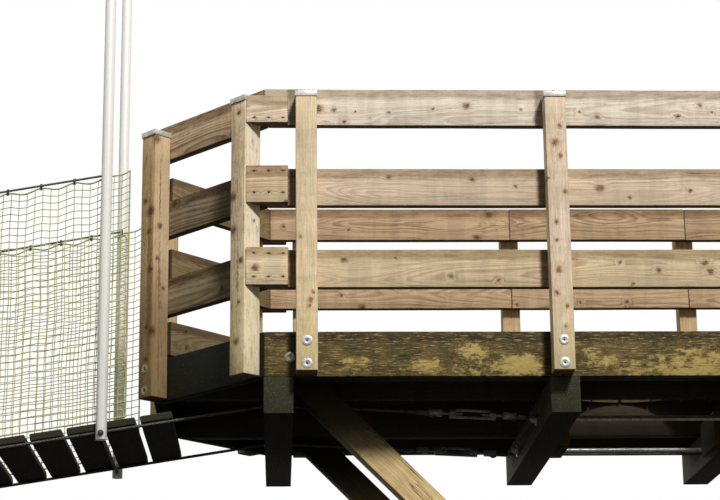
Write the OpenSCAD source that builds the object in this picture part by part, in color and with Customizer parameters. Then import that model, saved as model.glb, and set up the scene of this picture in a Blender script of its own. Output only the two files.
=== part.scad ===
// Treetop platform of timber with the start of a plank hanging bridge.
// Millimetres, +Z up, +X to the right along the front, +Y from the front to the back.
// The origin is at the centre of the flat face by which the front clamp beam bears on the trunk.

/* [Platform] */
// Length over the left and right sides
platform_len = 4456; // [4000:2:5200]
// Depth over the front and back rail faces
platform_dep = 1824; // [1600:2:2100]
// Length that each cut corner takes off the front and back
corner_cut_x = 495; // [400:5:600]
// Depth that each cut corner takes off the sides
corner_cut_y = 540; // [480:2:620]
// Diameter of the trunk that the platform is clamped to
trunk_d = 670; // [600:5:700]
// Diameter of the hole that the deck leaves for the trunk
tree_hole_d = 800; // [740:5:830]

/* [Deck] */
// Widest deck board allowed
board_w_max = 140; // [120:1:160]
// Gap between two deck boards
board_gap = 8; // [4:1:12]
// Thickness of the deck boards
board_t = 36; // [28:1:45]
// Width of the joists under the deck
joist_w = 75; // [60:1:90]
// Width of the joists behind the front and back fascia
rim_joist_w = 60; // [45:1:75]
// Distance from the front rail face to the front face of the inner joist
joist_in = 425; // [400:5:440]

/* [Guard] */
// Height of the top rail's upper edge over the deck
guard_h = 1100; // [1000:5:1200]
// Height of one rail board
rail_h = 168; // [140:1:180]
// Gap between two rail boards
rail_gap = 200; // [150:1:210]
// Thickness of rail boards, fascia boards and splice blocks
rail_t = 45; // [35:1:50]
// Height of the fascia boards that close the deck's edge
fascia_h = 196; // [180:1:220]
// Height of the short top splice block
top_block_h = 125; // [100:1:140]
// Distance of the top splice block's upper edge from the top of the guard
top_block_low = 45; // [20:1:60]
// Length of a splice block in front of a rail end
block_len = 105; // [90:1:120]

/* [Posts] */
// Width of a square post
post_w = 92; // [80:1:100]
// Distance of the outer front posts from the front corners
post_corner_in = 183; // [170:1:250]
// Distance of the inner front posts from the middle of the platform
post_in_x = 462; // [440:1:500]
// Distance of the posts' tops from the top of the guard, without their caps
post_low = 43; // [20:1:100]
// How far the posts stop above the lower edge of the fascia
post_rise = 6; // [0:1:30]
// Distance of the first corner post from the platform's front corner
corner_post_gap = 24; // [15:1:80]
// Height of a metal post cap
cap_h = 24; // [15:1:30]
// Sheet thickness of a post cap
cap_t = 2.5; // [1.5:0.5:4]

/* [Bearers and braces] */
// Width of the front-to-back bearers
bearer_w = 125; // [100:1:140]
// Height of the front-to-back bearers
bearer_h = 157; // [140:1:180]
// Distance of the inner bearers from the inner posts, towards the trunk
bearer_in_shift = 11; // [0:1:20]
// Width of the square knee braces
brace_w = 125; // [100:1:135]
// Gap between an outer bearer and the knee brace beside it
brace_gap = 6; // [3:1:30]
// Height of the lower clamp beams
clamp_h = 160; // [140:2:200]
// Length of the lower clamp beams beyond the rods at the braces' feet
clamp_over = 180; // [120:5:250]
// Length of the packing blocks between the inner bearers and the trunk
trunk_block_len = 320; // [250:10:400]
// Diameter of the threaded rods that draw the timbers against the trunk
rod_d = 20; // [16:2:24]
// Distance of the rods from the trunk's surface
rod_space = 35; // [30:1:45]

/* [Cables] */
// Diameter of the carrying cables
cable_d = 14; // [10:1:16]
// Distance of each cable from the front or back rail face
cable_in = 462; // [455:1:475]
// Depth of the cable under the top of the outer bearers
cable_below_out = 31; // [28:1:50]
// Depth of the cable under the top of the inner bearers
cable_below_in = 85; // [60:1:100]
// Wall of the steel sleeves that line the bearers' bores
sleeve_wall = 3; // [2:0.5:4]
// Length of a turnbuckle's body
turnbuckle_len = 208; // [160:2:260]
// Distance of the turnbuckles' middles from the inner bearers
turnbuckle_out = 294; // [270:2:360]

/* [Bridge] */
// Number of bridge planks
plank_n = 6; // [3:1:6]
// Width of a bridge plank
plank_w = 143; // [120:1:150]
// Gap between two bridge planks
plank_gap = 20; // [12:1:30]
// Thickness of a bridge plank
plank_t = 36; // [30:1:45]
// Length of the bridge planks beyond the middle of each cable
plank_over = 10; // [8:1:12]
// How far the first plank reaches under the side of the platform
plank_under = 91; // [60:1:140]
// Slope of the bridge, in degrees
bridge_slope = 8.9; // [4:0.1:12]
// Diameter of the sleeved bridge hangers
hanger_d = 50; // [45:1:60]
// Top of the hanger sleeves over the deck
hanger_top = 2200; // [1900:10:2400]
// Height of the nets' top ropes over the planks, at the hangers
net_h = 1148; // [1000:2:1300]
// Slope of the top ropes, in degrees
net_slope = 9.8; // [0:0.1:12]
// Length of the nets beyond the hangers, towards the platform
net_over = 102; // [60:1:110]
// Slope of the top ropes beyond the hangers, in degrees
net_end_slope = 24; // [10:1:35]
// Mesh of the nets
net_mesh = 72; // [60:1:120]
// Thickness of the nets' cords
net_cord = 6; // [4:1:8]
// Diameter of the ropes round the nets
net_rope_d = 12; // [10:1:16]

/* [Hidden] */
$fn = 48;

// Clearance between pieces that pass through, round or over each other
fit = 0.3;
// Open joint between boards that meet end to end
joint = 0.5;
// How far a cutting body reaches past what it cuts
cut = 1;

// Plan of the platform, measured from its middle and from the front rail face
half_len = platform_len / 2;
corner_x = half_len - corner_cut_x;
corner_y = corner_cut_y;
mid_y = platform_dep / 2;
corner_a = atan2(corner_cut_y, corner_cut_x);
corner_len = norm([corner_cut_x, corner_cut_y]);
mitre_front = tan(corner_a / 2);
mitre_side = tan((90 - corner_a) / 2);
trunk_r = trunk_d / 2;
front_to_trunk = mid_y - trunk_r;
rod_from_trunk = trunk_r + rod_space + rod_d / 2;

// Heights, measured from the top of the deck
joist_h = fascia_h - board_t;
joist_top = -board_t;
bearer_top = -fascia_h;
bearer_bottom = bearer_top - bearer_h;
rod_z = bearer_top - bearer_h / 2;
post_top = guard_h - post_low;
post_bottom = -fascia_h + post_rise;
rail_tops = [for (i = [0:2]) guard_h - i * (rail_h + rail_gap)];

// Deck boards
deck_len = platform_len - 2 * (rail_t + joint);
board_n = 2 * ceil((deck_len + board_gap) / (board_w_max + board_gap) / 2);
board_pitch = (deck_len + board_gap) / board_n;
board_w = board_pitch - board_gap;
hole_boards = 2 * ceil(tree_hole_d / 2 / board_pitch);
deck_in = rail_t + joint;

// Bearers, named from the platform's middle
bearer_x_out = corner_x - bearer_w / 2;
bearer_x_in = post_in_x - bearer_in_shift;
bearer_out_face = bearer_x_out + bearer_w / 2;
block_t = bearer_x_in - bearer_w / 2 - trunk_r;
rod_ys = [mid_y - rod_from_trunk, mid_y + rod_from_trunk];

// A knee brace's middle line is x + z = -brace_sum on the left side, and its foot is beside the trunk
brace_half = brace_w / sqrt(2);
brace_sum = corner_x - bearer_w - brace_gap - brace_half - bearer_top;
brace_front = joist_in - brace_w;
deck_rise = round(brace_sum - rod_from_trunk);
clamp_bottom = -deck_rise - clamp_h / 2;
clamp_len = 2 * (rod_from_trunk + clamp_over);

// Carrying cables
cable_r = cable_d / 2;
cable_drop_out = fascia_h + cable_below_out;
cable_drop_in = fascia_h + cable_below_in;
bridge_rise = tan(bridge_slope);
function bridge_cable_z(x) = -cable_drop_out - (-bearer_out_face - x) * bridge_rise;
inner_span = bearer_x_out - bearer_x_in - bearer_w;
cable_fall = (cable_drop_in - cable_drop_out) / inner_span;
cable_a = atan(cable_fall);
sleeve_d = cable_d + 2 * sleeve_wall;
sleeve_out = 8;
cable_plate_d = 2 * cable_below_out - 4;
cable_plate_t = 10;
cable_nut_d = 1.9 * cable_d;
ferrule_d = 2 * cable_r + 12;
ferrule_len = 55;
eye_r = 2.2 * cable_r;
cable_past_plank = 60;

// Turnbuckles
turnbuckle_x = bearer_x_in + bearer_w / 2 + turnbuckle_out;
turnbuckle_z = -cable_drop_in + turnbuckle_out * cable_fall;
bar_t = 9;
bar_w = 12;
bar_space = 2;
boss_len = 30;
boss_d = 2 * cable_d + bar_w;
screw_len = 46;
jaw_len = 58;
jaw_h = 26;
jaw_base = 14;
jaw_t = 7;
jaw_gap = cable_d + 2;
jaw_pin_d = 12;
jaw_pin_out = 4;

// Bridge, hangers, stirrup and nets, which pass the hangers on the side of the planks
plank_start = half_len - plank_under;
plank_len = platform_dep - 2 * (cable_in - plank_over);
plank_pitch = plank_w + plank_gap;
planks_end = -plank_start - plank_n * plank_pitch * cos(bridge_slope);
function plank_top_z(x) = bridge_cable_z(x) + (cable_r + plank_t) / cos(bridge_slope);
hanger_r = hanger_d / 2;
hanger_gap = 1;
hanger_x = -plank_start - (2 * plank_pitch - plank_gap / 2) * cos(bridge_slope);
hanger_y = cable_in - plank_over - hanger_r - hanger_gap;
hanger_neck_d = 26;
hanger_neck_len = 50;
hanger_ring_r = 26;
hanger_ring_d = 12;
stirrup_d = 16;
stirrup_over = 16;
stirrup_nut_t = stirrup_d / 2;
stirrup_z = bridge_cable_z(hanger_x) - (cable_r + stirrup_d / 2) / cos(bridge_slope) - fit;
hanger_foot = 18;
hanger_bottom = stirrup_z - stirrup_d / 2 - hanger_foot;
net_rope_r = net_rope_d / 2;
net_knot_r = 1.5 * net_rope_r;
net_y = hanger_y + hanger_r + net_knot_r + fit;
net_left = planks_end + net_rope_r;
net_right = hanger_x + net_over;
net_foot = (net_knot_r + fit) / cos(bridge_slope);

// From the platform's own measures to the frame of the part
module place() translate([0, -front_to_trunk, deck_rise]) children();
module to_back() translate([0, platform_dep, 0]) mirror([0, 1, 0]) children();
module to_right() mirror([1, 0, 0]) children();

// Frame of the front left cut corner: x runs along it, y points outwards
module along_corner() translate([-corner_x, 0, 0]) rotate([0, 0, 180 - corner_a]) children();

// Octagon of the platform, set in from the rail faces by d
function octagon(d) = let (x1 = corner_x - d * mitre_front, x2 = half_len - d,
                           y1 = d, y2 = corner_y + d * mitre_side)
    [[-x1, y1], [x1, y1], [x2, y2], [x2, platform_dep - y2],
     [x1, platform_dep - y1], [-x1, platform_dep - y1], [-x2, platform_dep - y2], [-x2, y2]];

module slab(low, high, points) translate([0, 0, low]) linear_extrude(high - low) polygon(points);

// Deck boards run from front to back and are cut to the octagon and the tree hole
module deck_boards(first, last) {
    intersection() {
        slab(-board_t, 0, octagon(deck_in));
        for (i = [first:last])
            translate([-deck_len / 2 + i * board_pitch, 0, -board_t - cut])
                cube([board_w, platform_dep, board_t + 2 * cut]);
    }
}
module deck_left() color("#8d8069") place() deck_boards(0, (board_n - hole_boards) / 2 - 1);
module deck_right() color("#8d8069") place() deck_boards((board_n + hole_boards) / 2, board_n - 1);
module deck_middle() color("#8d8069") place() difference() {
    deck_boards((board_n - hole_boards) / 2, (board_n + hole_boards) / 2 - 1);
    translate([0, mid_y, -board_t - cut]) cylinder(d = tree_hole_d, h = board_t + 2 * cut, $fn = 96);
}

// Joists lie across the bearers, cut to the inside of the fascia
module joist(y) {
    intersection() {
        slab(bearer_top, joist_top, octagon(deck_in));
        translate([-half_len, y, bearer_top - cut]) cube([platform_len, joist_w, joist_h + 2 * cut]);
    }
}
module rim_joist() translate([-corner_x + deck_in * mitre_front, deck_in, bearer_top])
    cube([2 * (corner_x - deck_in * mitre_front), rim_joist_w, joist_h]);
module joists() color("#4f4638") place() {
    joist(joist_in);
    to_back() joist(joist_in);
}
module rim_joists() color("#4f4638") place() {
    rim_joist();
    to_back() rim_joist();
}

// Bearers run from front to back under the joists and are bored for cables and rods
module bore_across(x, y, z, d) translate([x - bearer_w, y, z]) rotate([0, 90, 0])
    cylinder(d = d + 2 * fit, h = 2 * bearer_w);
module bearer(x, cable_z) difference() {
    translate([x - bearer_w / 2, 0, bearer_bottom]) cube([bearer_w, platform_dep, bearer_h]);
    for (y = [cable_in, platform_dep - cable_in]) bore_across(x, y, cable_z, sleeve_d);
    if (abs(x) < bearer_x_out) for (y = rod_ys) bore_across(x, y, rod_z, rod_d);
}
module bearer_left_outer() color("#6f6f5c") place() bearer(-bearer_x_out, -cable_drop_out);
module bearer_left_inner() color("#6f6f5c") place() bearer(-bearer_x_in, -cable_drop_in);
module bearer_right_inner() color("#6f6f5c") place() bearer(bearer_x_in, -cable_drop_in);
module bearer_right_outer() color("#6f6f5c") place() bearer(bearer_x_out, -cable_drop_out);

// Boards of the front side butt together behind the inner posts
module front_boards(low, high) {
    end = corner_x - joint / 2;
    end_in = end - rail_t * mitre_front;
    butt = post_in_x + joint / 2;
    middle = post_in_x - joint / 2;
    slab(low, high, [[-end, 0], [-butt, 0], [-butt, rail_t], [-end_in, rail_t]]);
    slab(low, high, [[-middle, 0], [middle, 0], [middle, rail_t], [-middle, rail_t]]);
    slab(low, high, [[butt, 0], [end, 0], [end_in, rail_t], [butt, rail_t]]);
}
// Board along a cut corner, mitred to the front board and, where it meets one, to the side board
module corner_board(low, high, side_mitre) along_corner()
    slab(low, high, [[joint, 0], [corner_len - joint, 0],
                     [corner_len - joint - side_mitre * rail_t, -rail_t],
                     [joint + mitre_front * rail_t, -rail_t]]);
module side_board(low, high) translate([-half_len, 0, 0])
    slab(low, high, [[0, corner_y + joint], [rail_t, corner_y + joint + rail_t * mitre_side],
                     [rail_t, platform_dep - corner_y - joint - rail_t * mitre_side],
                     [0, platform_dep - corner_y - joint]]);

module fascia_front() color("#6b6a3a") place() front_boards(-fascia_h, 0);
module fascia_back() color("#5f5a45") place() to_back() front_boards(-fascia_h, 0);
module fascia_left() color("#4d4537") place() side_board(-fascia_h, 0);
module fascia_right() color("#4d4537") place() to_right() side_board(-fascia_h, 0);
module fascia_corners_left() color("#4d4537") place() {
    corner_board(-fascia_h, 0, mitre_side);
    to_back() corner_board(-fascia_h, 0, mitre_side);
}
module fascia_corners_right() color("#4d4537") place() to_right() {
    corner_board(-fascia_h, 0, mitre_side);
    to_back() corner_board(-fascia_h, 0, mitre_side);
}

// Three rail boards on each closed side
module front_rails() for (top = rail_tops) front_boards(top - rail_h, top);
module corner_rails() for (top = rail_tops) corner_board(top - rail_h, top, 0);
module rails_front() color("#b39f80") place() front_rails();
module rails_back() color("#a08d70") place() to_back() front_rails();
module rails_front_left() color("#a5916f") place() corner_rails();
module rails_back_left() color("#a5916f") place() to_back() corner_rails();
module rails_front_right() color("#a5916f") place() to_right() corner_rails();
module rails_back_right() color("#a5916f") place() to_right() to_back() corner_rails();

// Posts stand on the outside of the rails
post_h = post_top - post_bottom;
post_out_x = corner_x - post_corner_in;
post_xs = [-post_out_x, -post_in_x, post_in_x, post_out_x];
corner_post_ss = [corner_post_gap, corner_len - joint - post_w];
module post() translate([0, 0, post_bottom]) cube([post_w, post_w, post_h]);
module front_spots() for (x = post_xs) translate([x - post_w / 2, -post_w, 0]) children();
module corner_spots() along_corner() for (s = corner_post_ss) translate([s, 0, 0]) children();
module posts_front() color("#cbb38c") place() front_spots() post();
module posts_back() color("#b8a27c") place() to_back() front_spots() post();
module posts_front_left() color("#cbb38c") place() corner_spots() post();
module posts_back_left() color("#b8a27c") place() to_back() corner_spots() post();
module posts_front_right() color("#cbb38c") place() to_right() corner_spots() post();
module posts_back_right() color("#b8a27c") place() to_right() to_back() corner_spots() post();

// Folded sheet cap that sits over a post's end grain and stands clear of its sides
cap_side = fit + cap_t;
module cap() translate([-cap_side, -fit, post_top + cap_t - cap_h]) difference() {
    cube([post_w + 2 * cap_side, post_w + fit + cap_side, cap_h]);
    translate([cap_t, -cut, -cut]) cube([post_w + 2 * fit, post_w + 2 * fit + cut, cap_h - cap_t + cut]);
}
module caps_of_quarter() {
    for (x = [-post_out_x, -post_in_x])
        translate([x - post_w / 2, 0, 0]) mirror([0, 1, 0]) cap();
    corner_spots() cap();
}
module post_caps() color("#b9bcbc") place() {
    caps_of_quarter();
    to_right() caps_of_quarter();
    to_back() {
        caps_of_quarter();
        to_right() caps_of_quarter();
    }
}

// Short blocks in front of the rail ends, cut along the first corner post
block_end = corner_x - block_len;
post_side = [-corner_x, 0] + corner_post_gap * [-cos(corner_a), sin(corner_a)]
            + (cap_side + fit) * [cos(corner_a), -sin(corner_a)];
function post_side_x(y) = post_side[0] - (post_side[1] - y) * tan(corner_a);
module block(top, h) slab(top - h, top, [[-block_end, 0], [-block_end, -rail_t],
                                         [post_side_x(-rail_t), -rail_t], [post_side_x(0), 0]]);
module blocks_of_corner() {
    block(guard_h - top_block_low, top_block_h);
    block(rail_tops[1], rail_h);
    block(rail_tops[2], rail_h);
}
module splice_blocks_front() color("#b9a583") place() {
    blocks_of_corner();
    to_right() blocks_of_corner();
}
module splice_blocks_back() color("#b9a583") place() to_back() {
    blocks_of_corner();
    to_right() blocks_of_corner();
}

// Knee braces rise from the clamp beams to the joists, beside the outer bearers
module foot_rod_bore() translate([-rod_from_trunk, -cut, -deck_rise]) rotate([-90, 0, 0])
    cylinder(d = rod_d + 2 * fit, h = platform_dep);
module brace() difference() {
    top_x = -brace_sum - joist_top;
    foot_x = -brace_sum - clamp_bottom;
    translate([0, joist_in, 0]) rotate([90, 0, 0]) linear_extrude(brace_w)
        polygon([[top_x - brace_half, joist_top], [top_x + brace_half, joist_top],
                 [foot_x + brace_half, clamp_bottom], [foot_x - brace_half, clamp_bottom]]);
    foot_rod_bore();
}
module braces_front() color("#9c7c52") place() {
    brace();
    to_right() brace();
}
module braces_back() color("#7b6344") place() to_back() {
    brace();
    to_right() brace();
}

// Lower clamp beams lie against the trunk and carry the feet of the braces
module clamp_beam() difference() {
    translate([-clamp_len / 2, joist_in, clamp_bottom])
        cube([clamp_len, front_to_trunk - joist_in, clamp_h]);
    foot_rod_bore();
    to_right() foot_rod_bore();
}
module clamp_beam_front() color("#8a6f4b") place() clamp_beam();
module clamp_beam_back() color("#8a6f4b") place() to_back() clamp_beam();

// Packing blocks between the inner bearers and the trunk
module trunk_block() translate([-trunk_r - block_t, mid_y - trunk_block_len / 2, bearer_bottom])
    cube([block_t, trunk_block_len, bearer_h]);
module trunk_blocks() color("#6d5a41") place() {
    trunk_block();
    to_right() trunk_block();
}

// Threaded rods with a plate washer and a nut at each end, drawn along z about their middle
module nutted_rod(len) {
    washer_t = 6;
    nut_t = 0.8 * rod_d;
    thread_out = 8;
    rod_len = len + 2 * (washer_t + nut_t + thread_out);
    translate([0, 0, -rod_len / 2]) cylinder(d = rod_d, h = rod_len);
    for (m = [0, 1]) mirror([0, 0, m]) translate([0, 0, len / 2]) {
        cylinder(d = 3 * rod_d, h = washer_t);
        translate([0, 0, washer_t]) cylinder(d = 1.7 * rod_d, h = nut_t, $fn = 6);
    }
}
module clamp_rods() color("#9a9c9b") place() {
    for (y = rod_ys) translate([0, y, rod_z]) rotate([0, 90, 0]) nutted_rod(2 * bearer_x_in + bearer_w);
    for (x = [-rod_from_trunk, rod_from_trunk])
        translate([x, mid_y, -deck_rise]) rotate([90, 0, 0]) nutted_rod(platform_dep - 2 * brace_front);
}

// Places along a cable, as x and z
cable_at_out = [-bearer_out_face, -cable_drop_out];
cable_at_out_in = cable_at_out + [bearer_w, 0];
cable_at_in = [-bearer_x_in - bearer_w / 2, -cable_drop_in];
cable_end = [bearer_out_face, -cable_drop_out];
bridge_end = planks_end - cable_past_plank;
bridge_eye = [bridge_end, bridge_cable_z(bridge_end)];
cable_dir = [cos(cable_a), -sin(cable_a)];
eye_to_middle = turnbuckle_len / 2 + screw_len + jaw_len / 2 + eye_r - cable_r - jaw_pin_d / 2 - fit;
eye_left = [-turnbuckle_x, turnbuckle_z] - eye_to_middle * cable_dir;
eye_right = [-turnbuckle_x, turnbuckle_z] + eye_to_middle * cable_dir;
from_eye = eye_r + 5;

// Straight stretch of cable between two of those places
module cable_run(a, b) {
    d = b - a;
    translate([a[0], 0, a[1]]) rotate([0, atan2(d[0], d[1]), 0]) cylinder(d = cable_d, h = norm(d));
}
// Cable end: a ferrule and a round eye, drawn from the eye's centre with the cable leaving along x
module cable_eye(at, a) translate([at[0], 0, at[1]]) rotate([0, a, 0]) {
    rotate([90, 0, 0]) rotate_extrude() translate([eye_r, 0]) circle(d = cable_d);
    translate([eye_r, 0, 0]) rotate([0, 90, 0]) cylinder(d = ferrule_d, h = ferrule_len);
}
// Steel sleeve in a bearer's bore. The cable changes its slope inside it
module cable_sleeve(x, z) translate([x - bearer_w / 2 - sleeve_out, 0, z]) rotate([0, 90, 0])
    cylinder(d = sleeve_d, h = bearer_w + 2 * sleeve_out);
module cable() {
    cable_eye(bridge_eye, -bridge_slope);
    cable_run(bridge_eye + from_eye * [cos(bridge_slope), sin(bridge_slope)], cable_at_out);
    cable_sleeve(-bearer_x_out, -cable_drop_out);
    cable_run(cable_at_out_in, eye_left - from_eye * cable_dir);
    cable_eye(eye_left, 180 + cable_a);
    cable_eye(eye_right, cable_a);
    cable_run(eye_right + from_eye * cable_dir, cable_at_in);
    cable_sleeve(-bearer_x_in, -cable_drop_in);
    cable_run(cable_at_in, [-cable_at_in[0], cable_at_in[1]]);
    cable_sleeve(bearer_x_in, -cable_drop_in);
    cable_run([-cable_at_in[0], cable_at_in[1]], [-cable_at_out_in[0], cable_at_out_in[1]]);
    cable_sleeve(bearer_x_out, -cable_drop_out);
    translate([cable_end[0], 0, cable_end[1]]) rotate([0, 90, 0]) {
        cylinder(d = cable_plate_d, h = cable_plate_t);
        translate([0, 0, cable_plate_t]) cylinder(d = cable_nut_d, h = cable_d, $fn = 6);
        cylinder(d = cable_d, h = cable_plate_t + 2 * cable_d);
    }
}
module cable_front() color("#8b8e8f") place() translate([0, cable_in, 0]) cable();
module cable_back() color("#8b8e8f") place() to_back() translate([0, cable_in, 0]) cable();

// Open turnbuckle: a frame of two bars with an end boss, a screw and a forked jaw at each end
module turnbuckle() {
    half = turnbuckle_len / 2;
    jaw_x = half + screw_len - jaw_base;
    for (z = [-1, 1])
        translate([-half, -bar_w / 2, z * (cable_d + bar_space) - bar_t / 2])
            cube([turnbuckle_len, bar_w, bar_t]);
    for (m = [0, 1]) mirror([m, 0, 0]) {
        translate([half - boss_len, 0, 0]) rotate([0, 90, 0]) cylinder(d = boss_d, h = boss_len);
        translate([half - 2 * boss_len, 0, 0]) rotate([0, 90, 0])
            cylinder(d = cable_d, h = 2 * boss_len + screw_len);
        translate([jaw_x, -jaw_gap / 2 - jaw_t, -jaw_h / 2])
            cube([jaw_base, jaw_gap + 2 * jaw_t, jaw_h]);
        for (s = [0, 1]) mirror([0, s, 0])
            translate([jaw_x, jaw_gap / 2, -jaw_h / 2]) cube([jaw_len, jaw_t, jaw_h]);
        translate([half + screw_len + jaw_len / 2, 0, 0]) rotate([90, 0, 0])
            cylinder(d = jaw_pin_d, h = jaw_gap + 2 * (jaw_t + jaw_pin_out), center = true);
    }
}
module turnbuckles() color("#a3a6a6") place() for (y = [cable_in, platform_dep - cable_in])
    translate([-turnbuckle_x, y, turnbuckle_z]) rotate([0, cable_a, 0]) turnbuckle();

// Bridge planks lie across the two cables
module bridge_planks() color("#6b5a45") place() for (i = [0:plank_n - 1]) {
    x = -plank_start - (i * plank_pitch + plank_w) * cos(bridge_slope);
    translate([x, mid_y - plank_len / 2, bridge_cable_z(x)]) rotate([0, -bridge_slope, 0])
        translate([0, 0, cable_r]) cube([plank_w, plank_len, plank_t]);
}

// Sleeved hangers that carry the bridge's first stirrup from above, each with a ring at its top
module hanger() {
    translate([0, 0, hanger_bottom]) difference() {
        cylinder(d = hanger_d, h = hanger_top - hanger_bottom);
        translate([0, 0, stirrup_z - hanger_bottom]) rotate([-90, 0, 0])
            cylinder(d = stirrup_d + 2 * fit, h = 2 * hanger_d, center = true);
    }
    translate([0, 0, hanger_top]) cylinder(d = hanger_neck_d, h = hanger_neck_len);
    translate([0, 0, hanger_top + hanger_neck_len + hanger_ring_r - hanger_ring_d / 2]) rotate([0, 90, 0])
        rotate_extrude() translate([hanger_ring_r, 0]) circle(d = hanger_ring_d);
}
module bridge_hanger_front() color("#e8e9e8") place() translate([hanger_x, hanger_y, 0]) hanger();
module bridge_hanger_back() color("#e8e9e8") place() to_back() translate([hanger_x, hanger_y, 0]) hanger();

// Steel bar under the cables, held in the feet of the hangers
stirrup_y = hanger_y - hanger_r - stirrup_over;
stirrup_len = platform_dep - 2 * stirrup_y;
module bridge_stirrup() color("#9a9c9b") place()
    translate([hanger_x, stirrup_y, stirrup_z]) rotate([-90, 0, 0]) {
        cylinder(d = stirrup_d, h = stirrup_len);
        for (z = [stirrup_nut_t, stirrup_len - 2 * stirrup_nut_t])
            translate([0, 0, z]) cylinder(d = 1.8 * stirrup_d, h = stirrup_nut_t, $fn = 6);
    }

// A net in its plane: knots at its corners, a rope round it and square mesh that follows the bridge
module net_rope(a, b) {
    d = b - a;
    translate([a[0], 0, a[1]]) rotate([0, atan2(d[0], d[1]), 0])
        cylinder(d = net_rope_d, h = norm(d), $fn = 24);
    translate([a[0], 0, a[1]]) sphere(r = net_knot_r, $fn = 24);
}
module net_row(z) polygon([[net_left, z], [net_right, z + (net_right - net_left) * bridge_rise],
                           [net_right, z + (net_right - net_left) * bridge_rise + net_cord],
                           [net_left, z + net_cord]]);
net_at_hanger = [hanger_x, plank_top_z(hanger_x) + net_h];
net_corners = [[net_left, plank_top_z(net_left) + net_foot],
               [net_right, plank_top_z(net_right) + net_foot],
               net_at_hanger + net_over * [1, tan(net_end_slope)],
               net_at_hanger,
               net_at_hanger - (hanger_x - net_left) * [1, tan(net_slope)]];
net_corner_n = len(net_corners);
module bridge_net() translate([0, net_y, 0]) {
    for (i = [0:net_corner_n - 1]) net_rope(net_corners[i], net_corners[(i + 1) % net_corner_n]);
    translate([0, net_cord / 2, 0]) rotate([90, 0, 0]) linear_extrude(net_cord) intersection() {
        polygon(net_corners);
        union() {
            for (x = [net_left + net_mesh:net_mesh:net_right])
                translate([x, -2 * net_h]) square([net_cord, 4 * net_h]);
            for (i = [1:2 * net_h / net_mesh]) net_row(plank_top_z(net_left) + i * net_mesh);
        }
    }
}
module bridge_net_front() color("#a9a86a") place() bridge_net();
module bridge_net_back() color("#a9a86a") place() to_back() bridge_net();

deck_left();
deck_middle();
deck_right();
joists();
rim_joists();
bearer_left_outer();
bearer_left_inner();
bearer_right_inner();
bearer_right_outer();
fascia_front();
fascia_back();
fascia_left();
fascia_right();
fascia_corners_left();
fascia_corners_right();
rails_front();
rails_back();
rails_front_left();
rails_back_left();
rails_front_right();
rails_back_right();
posts_front();
posts_back();
posts_front_left();
posts_back_left();
posts_front_right();
posts_back_right();
post_caps();
splice_blocks_front();
splice_blocks_back();
braces_front();
braces_back();
clamp_beam_front();
clamp_beam_back();
trunk_blocks();
clamp_rods();
cable_front();
cable_back();
turnbuckles();
bridge_planks();
bridge_hanger_front();
bridge_hanger_back();
bridge_stirrup();
bridge_net_front();
bridge_net_back();
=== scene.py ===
# %% [markdown]
# # A high timber platform, dressed round its packed frame
# The platform is a real thing made of sawn timber, galvanised steel, wire cable and rope. Its solids come
# from the CAD frame, in metres, and stay where they are. This lesson gives each of them a finish, and swaps
# the plain boards for boards with rounded arrises, because real timber never has a razor edge.

# %% The frame
import math

import bmesh
import bpy
import numpy as np
from mathutils import Matrix, Vector


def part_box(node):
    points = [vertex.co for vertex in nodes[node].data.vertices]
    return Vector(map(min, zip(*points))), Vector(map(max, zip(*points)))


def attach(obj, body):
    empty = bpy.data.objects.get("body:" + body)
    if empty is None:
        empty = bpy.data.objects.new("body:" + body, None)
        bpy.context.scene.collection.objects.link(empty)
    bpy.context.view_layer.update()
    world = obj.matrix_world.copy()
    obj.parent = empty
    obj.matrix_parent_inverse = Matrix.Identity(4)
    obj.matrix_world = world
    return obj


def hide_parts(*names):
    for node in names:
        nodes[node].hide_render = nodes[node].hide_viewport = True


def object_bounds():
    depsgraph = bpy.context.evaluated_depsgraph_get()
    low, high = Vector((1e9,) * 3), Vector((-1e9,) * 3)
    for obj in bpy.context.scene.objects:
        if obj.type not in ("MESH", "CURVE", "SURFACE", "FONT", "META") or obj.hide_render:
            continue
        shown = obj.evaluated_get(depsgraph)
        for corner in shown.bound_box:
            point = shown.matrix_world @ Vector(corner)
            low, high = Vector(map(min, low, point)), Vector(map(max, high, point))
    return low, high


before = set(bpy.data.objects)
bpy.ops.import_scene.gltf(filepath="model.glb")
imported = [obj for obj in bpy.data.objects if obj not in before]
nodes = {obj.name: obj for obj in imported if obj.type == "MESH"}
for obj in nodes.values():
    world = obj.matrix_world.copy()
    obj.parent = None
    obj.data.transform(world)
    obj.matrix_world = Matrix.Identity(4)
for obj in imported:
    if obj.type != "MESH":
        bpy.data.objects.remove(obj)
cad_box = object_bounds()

print("nodes in the frame:", len(nodes), "box", [round(v, 3) for corner in cad_box for v in corner])

# %% [markdown]
# ## Camera, world and lamps
# The photograph was taken from the ground, close to the left end, looking up. Its viewpoint was worked out
# from the edges of the posts and rails, so the camera is set with a matrix: right, up and backwards as
# columns. A wide soft sun stands for the daylight that falls from the right front, and the world fills the
# shade. The lower half of that world is dim, because little light comes up from the ground.

# %% Camera
CAMERA_AT = Vector((-1.6744, -9.2259, -0.8167))
CAMERA_YAW = math.radians(2.355)
CAMERA_PITCH = math.radians(16.162)
CAMERA_ROLL = math.radians(-0.697)
SENSOR = 36.0
LENS = 104.47


def add_object(name, data):
    added = bpy.data.objects.new(name, data)
    bpy.context.scene.collection.objects.link(added)
    return added


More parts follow.
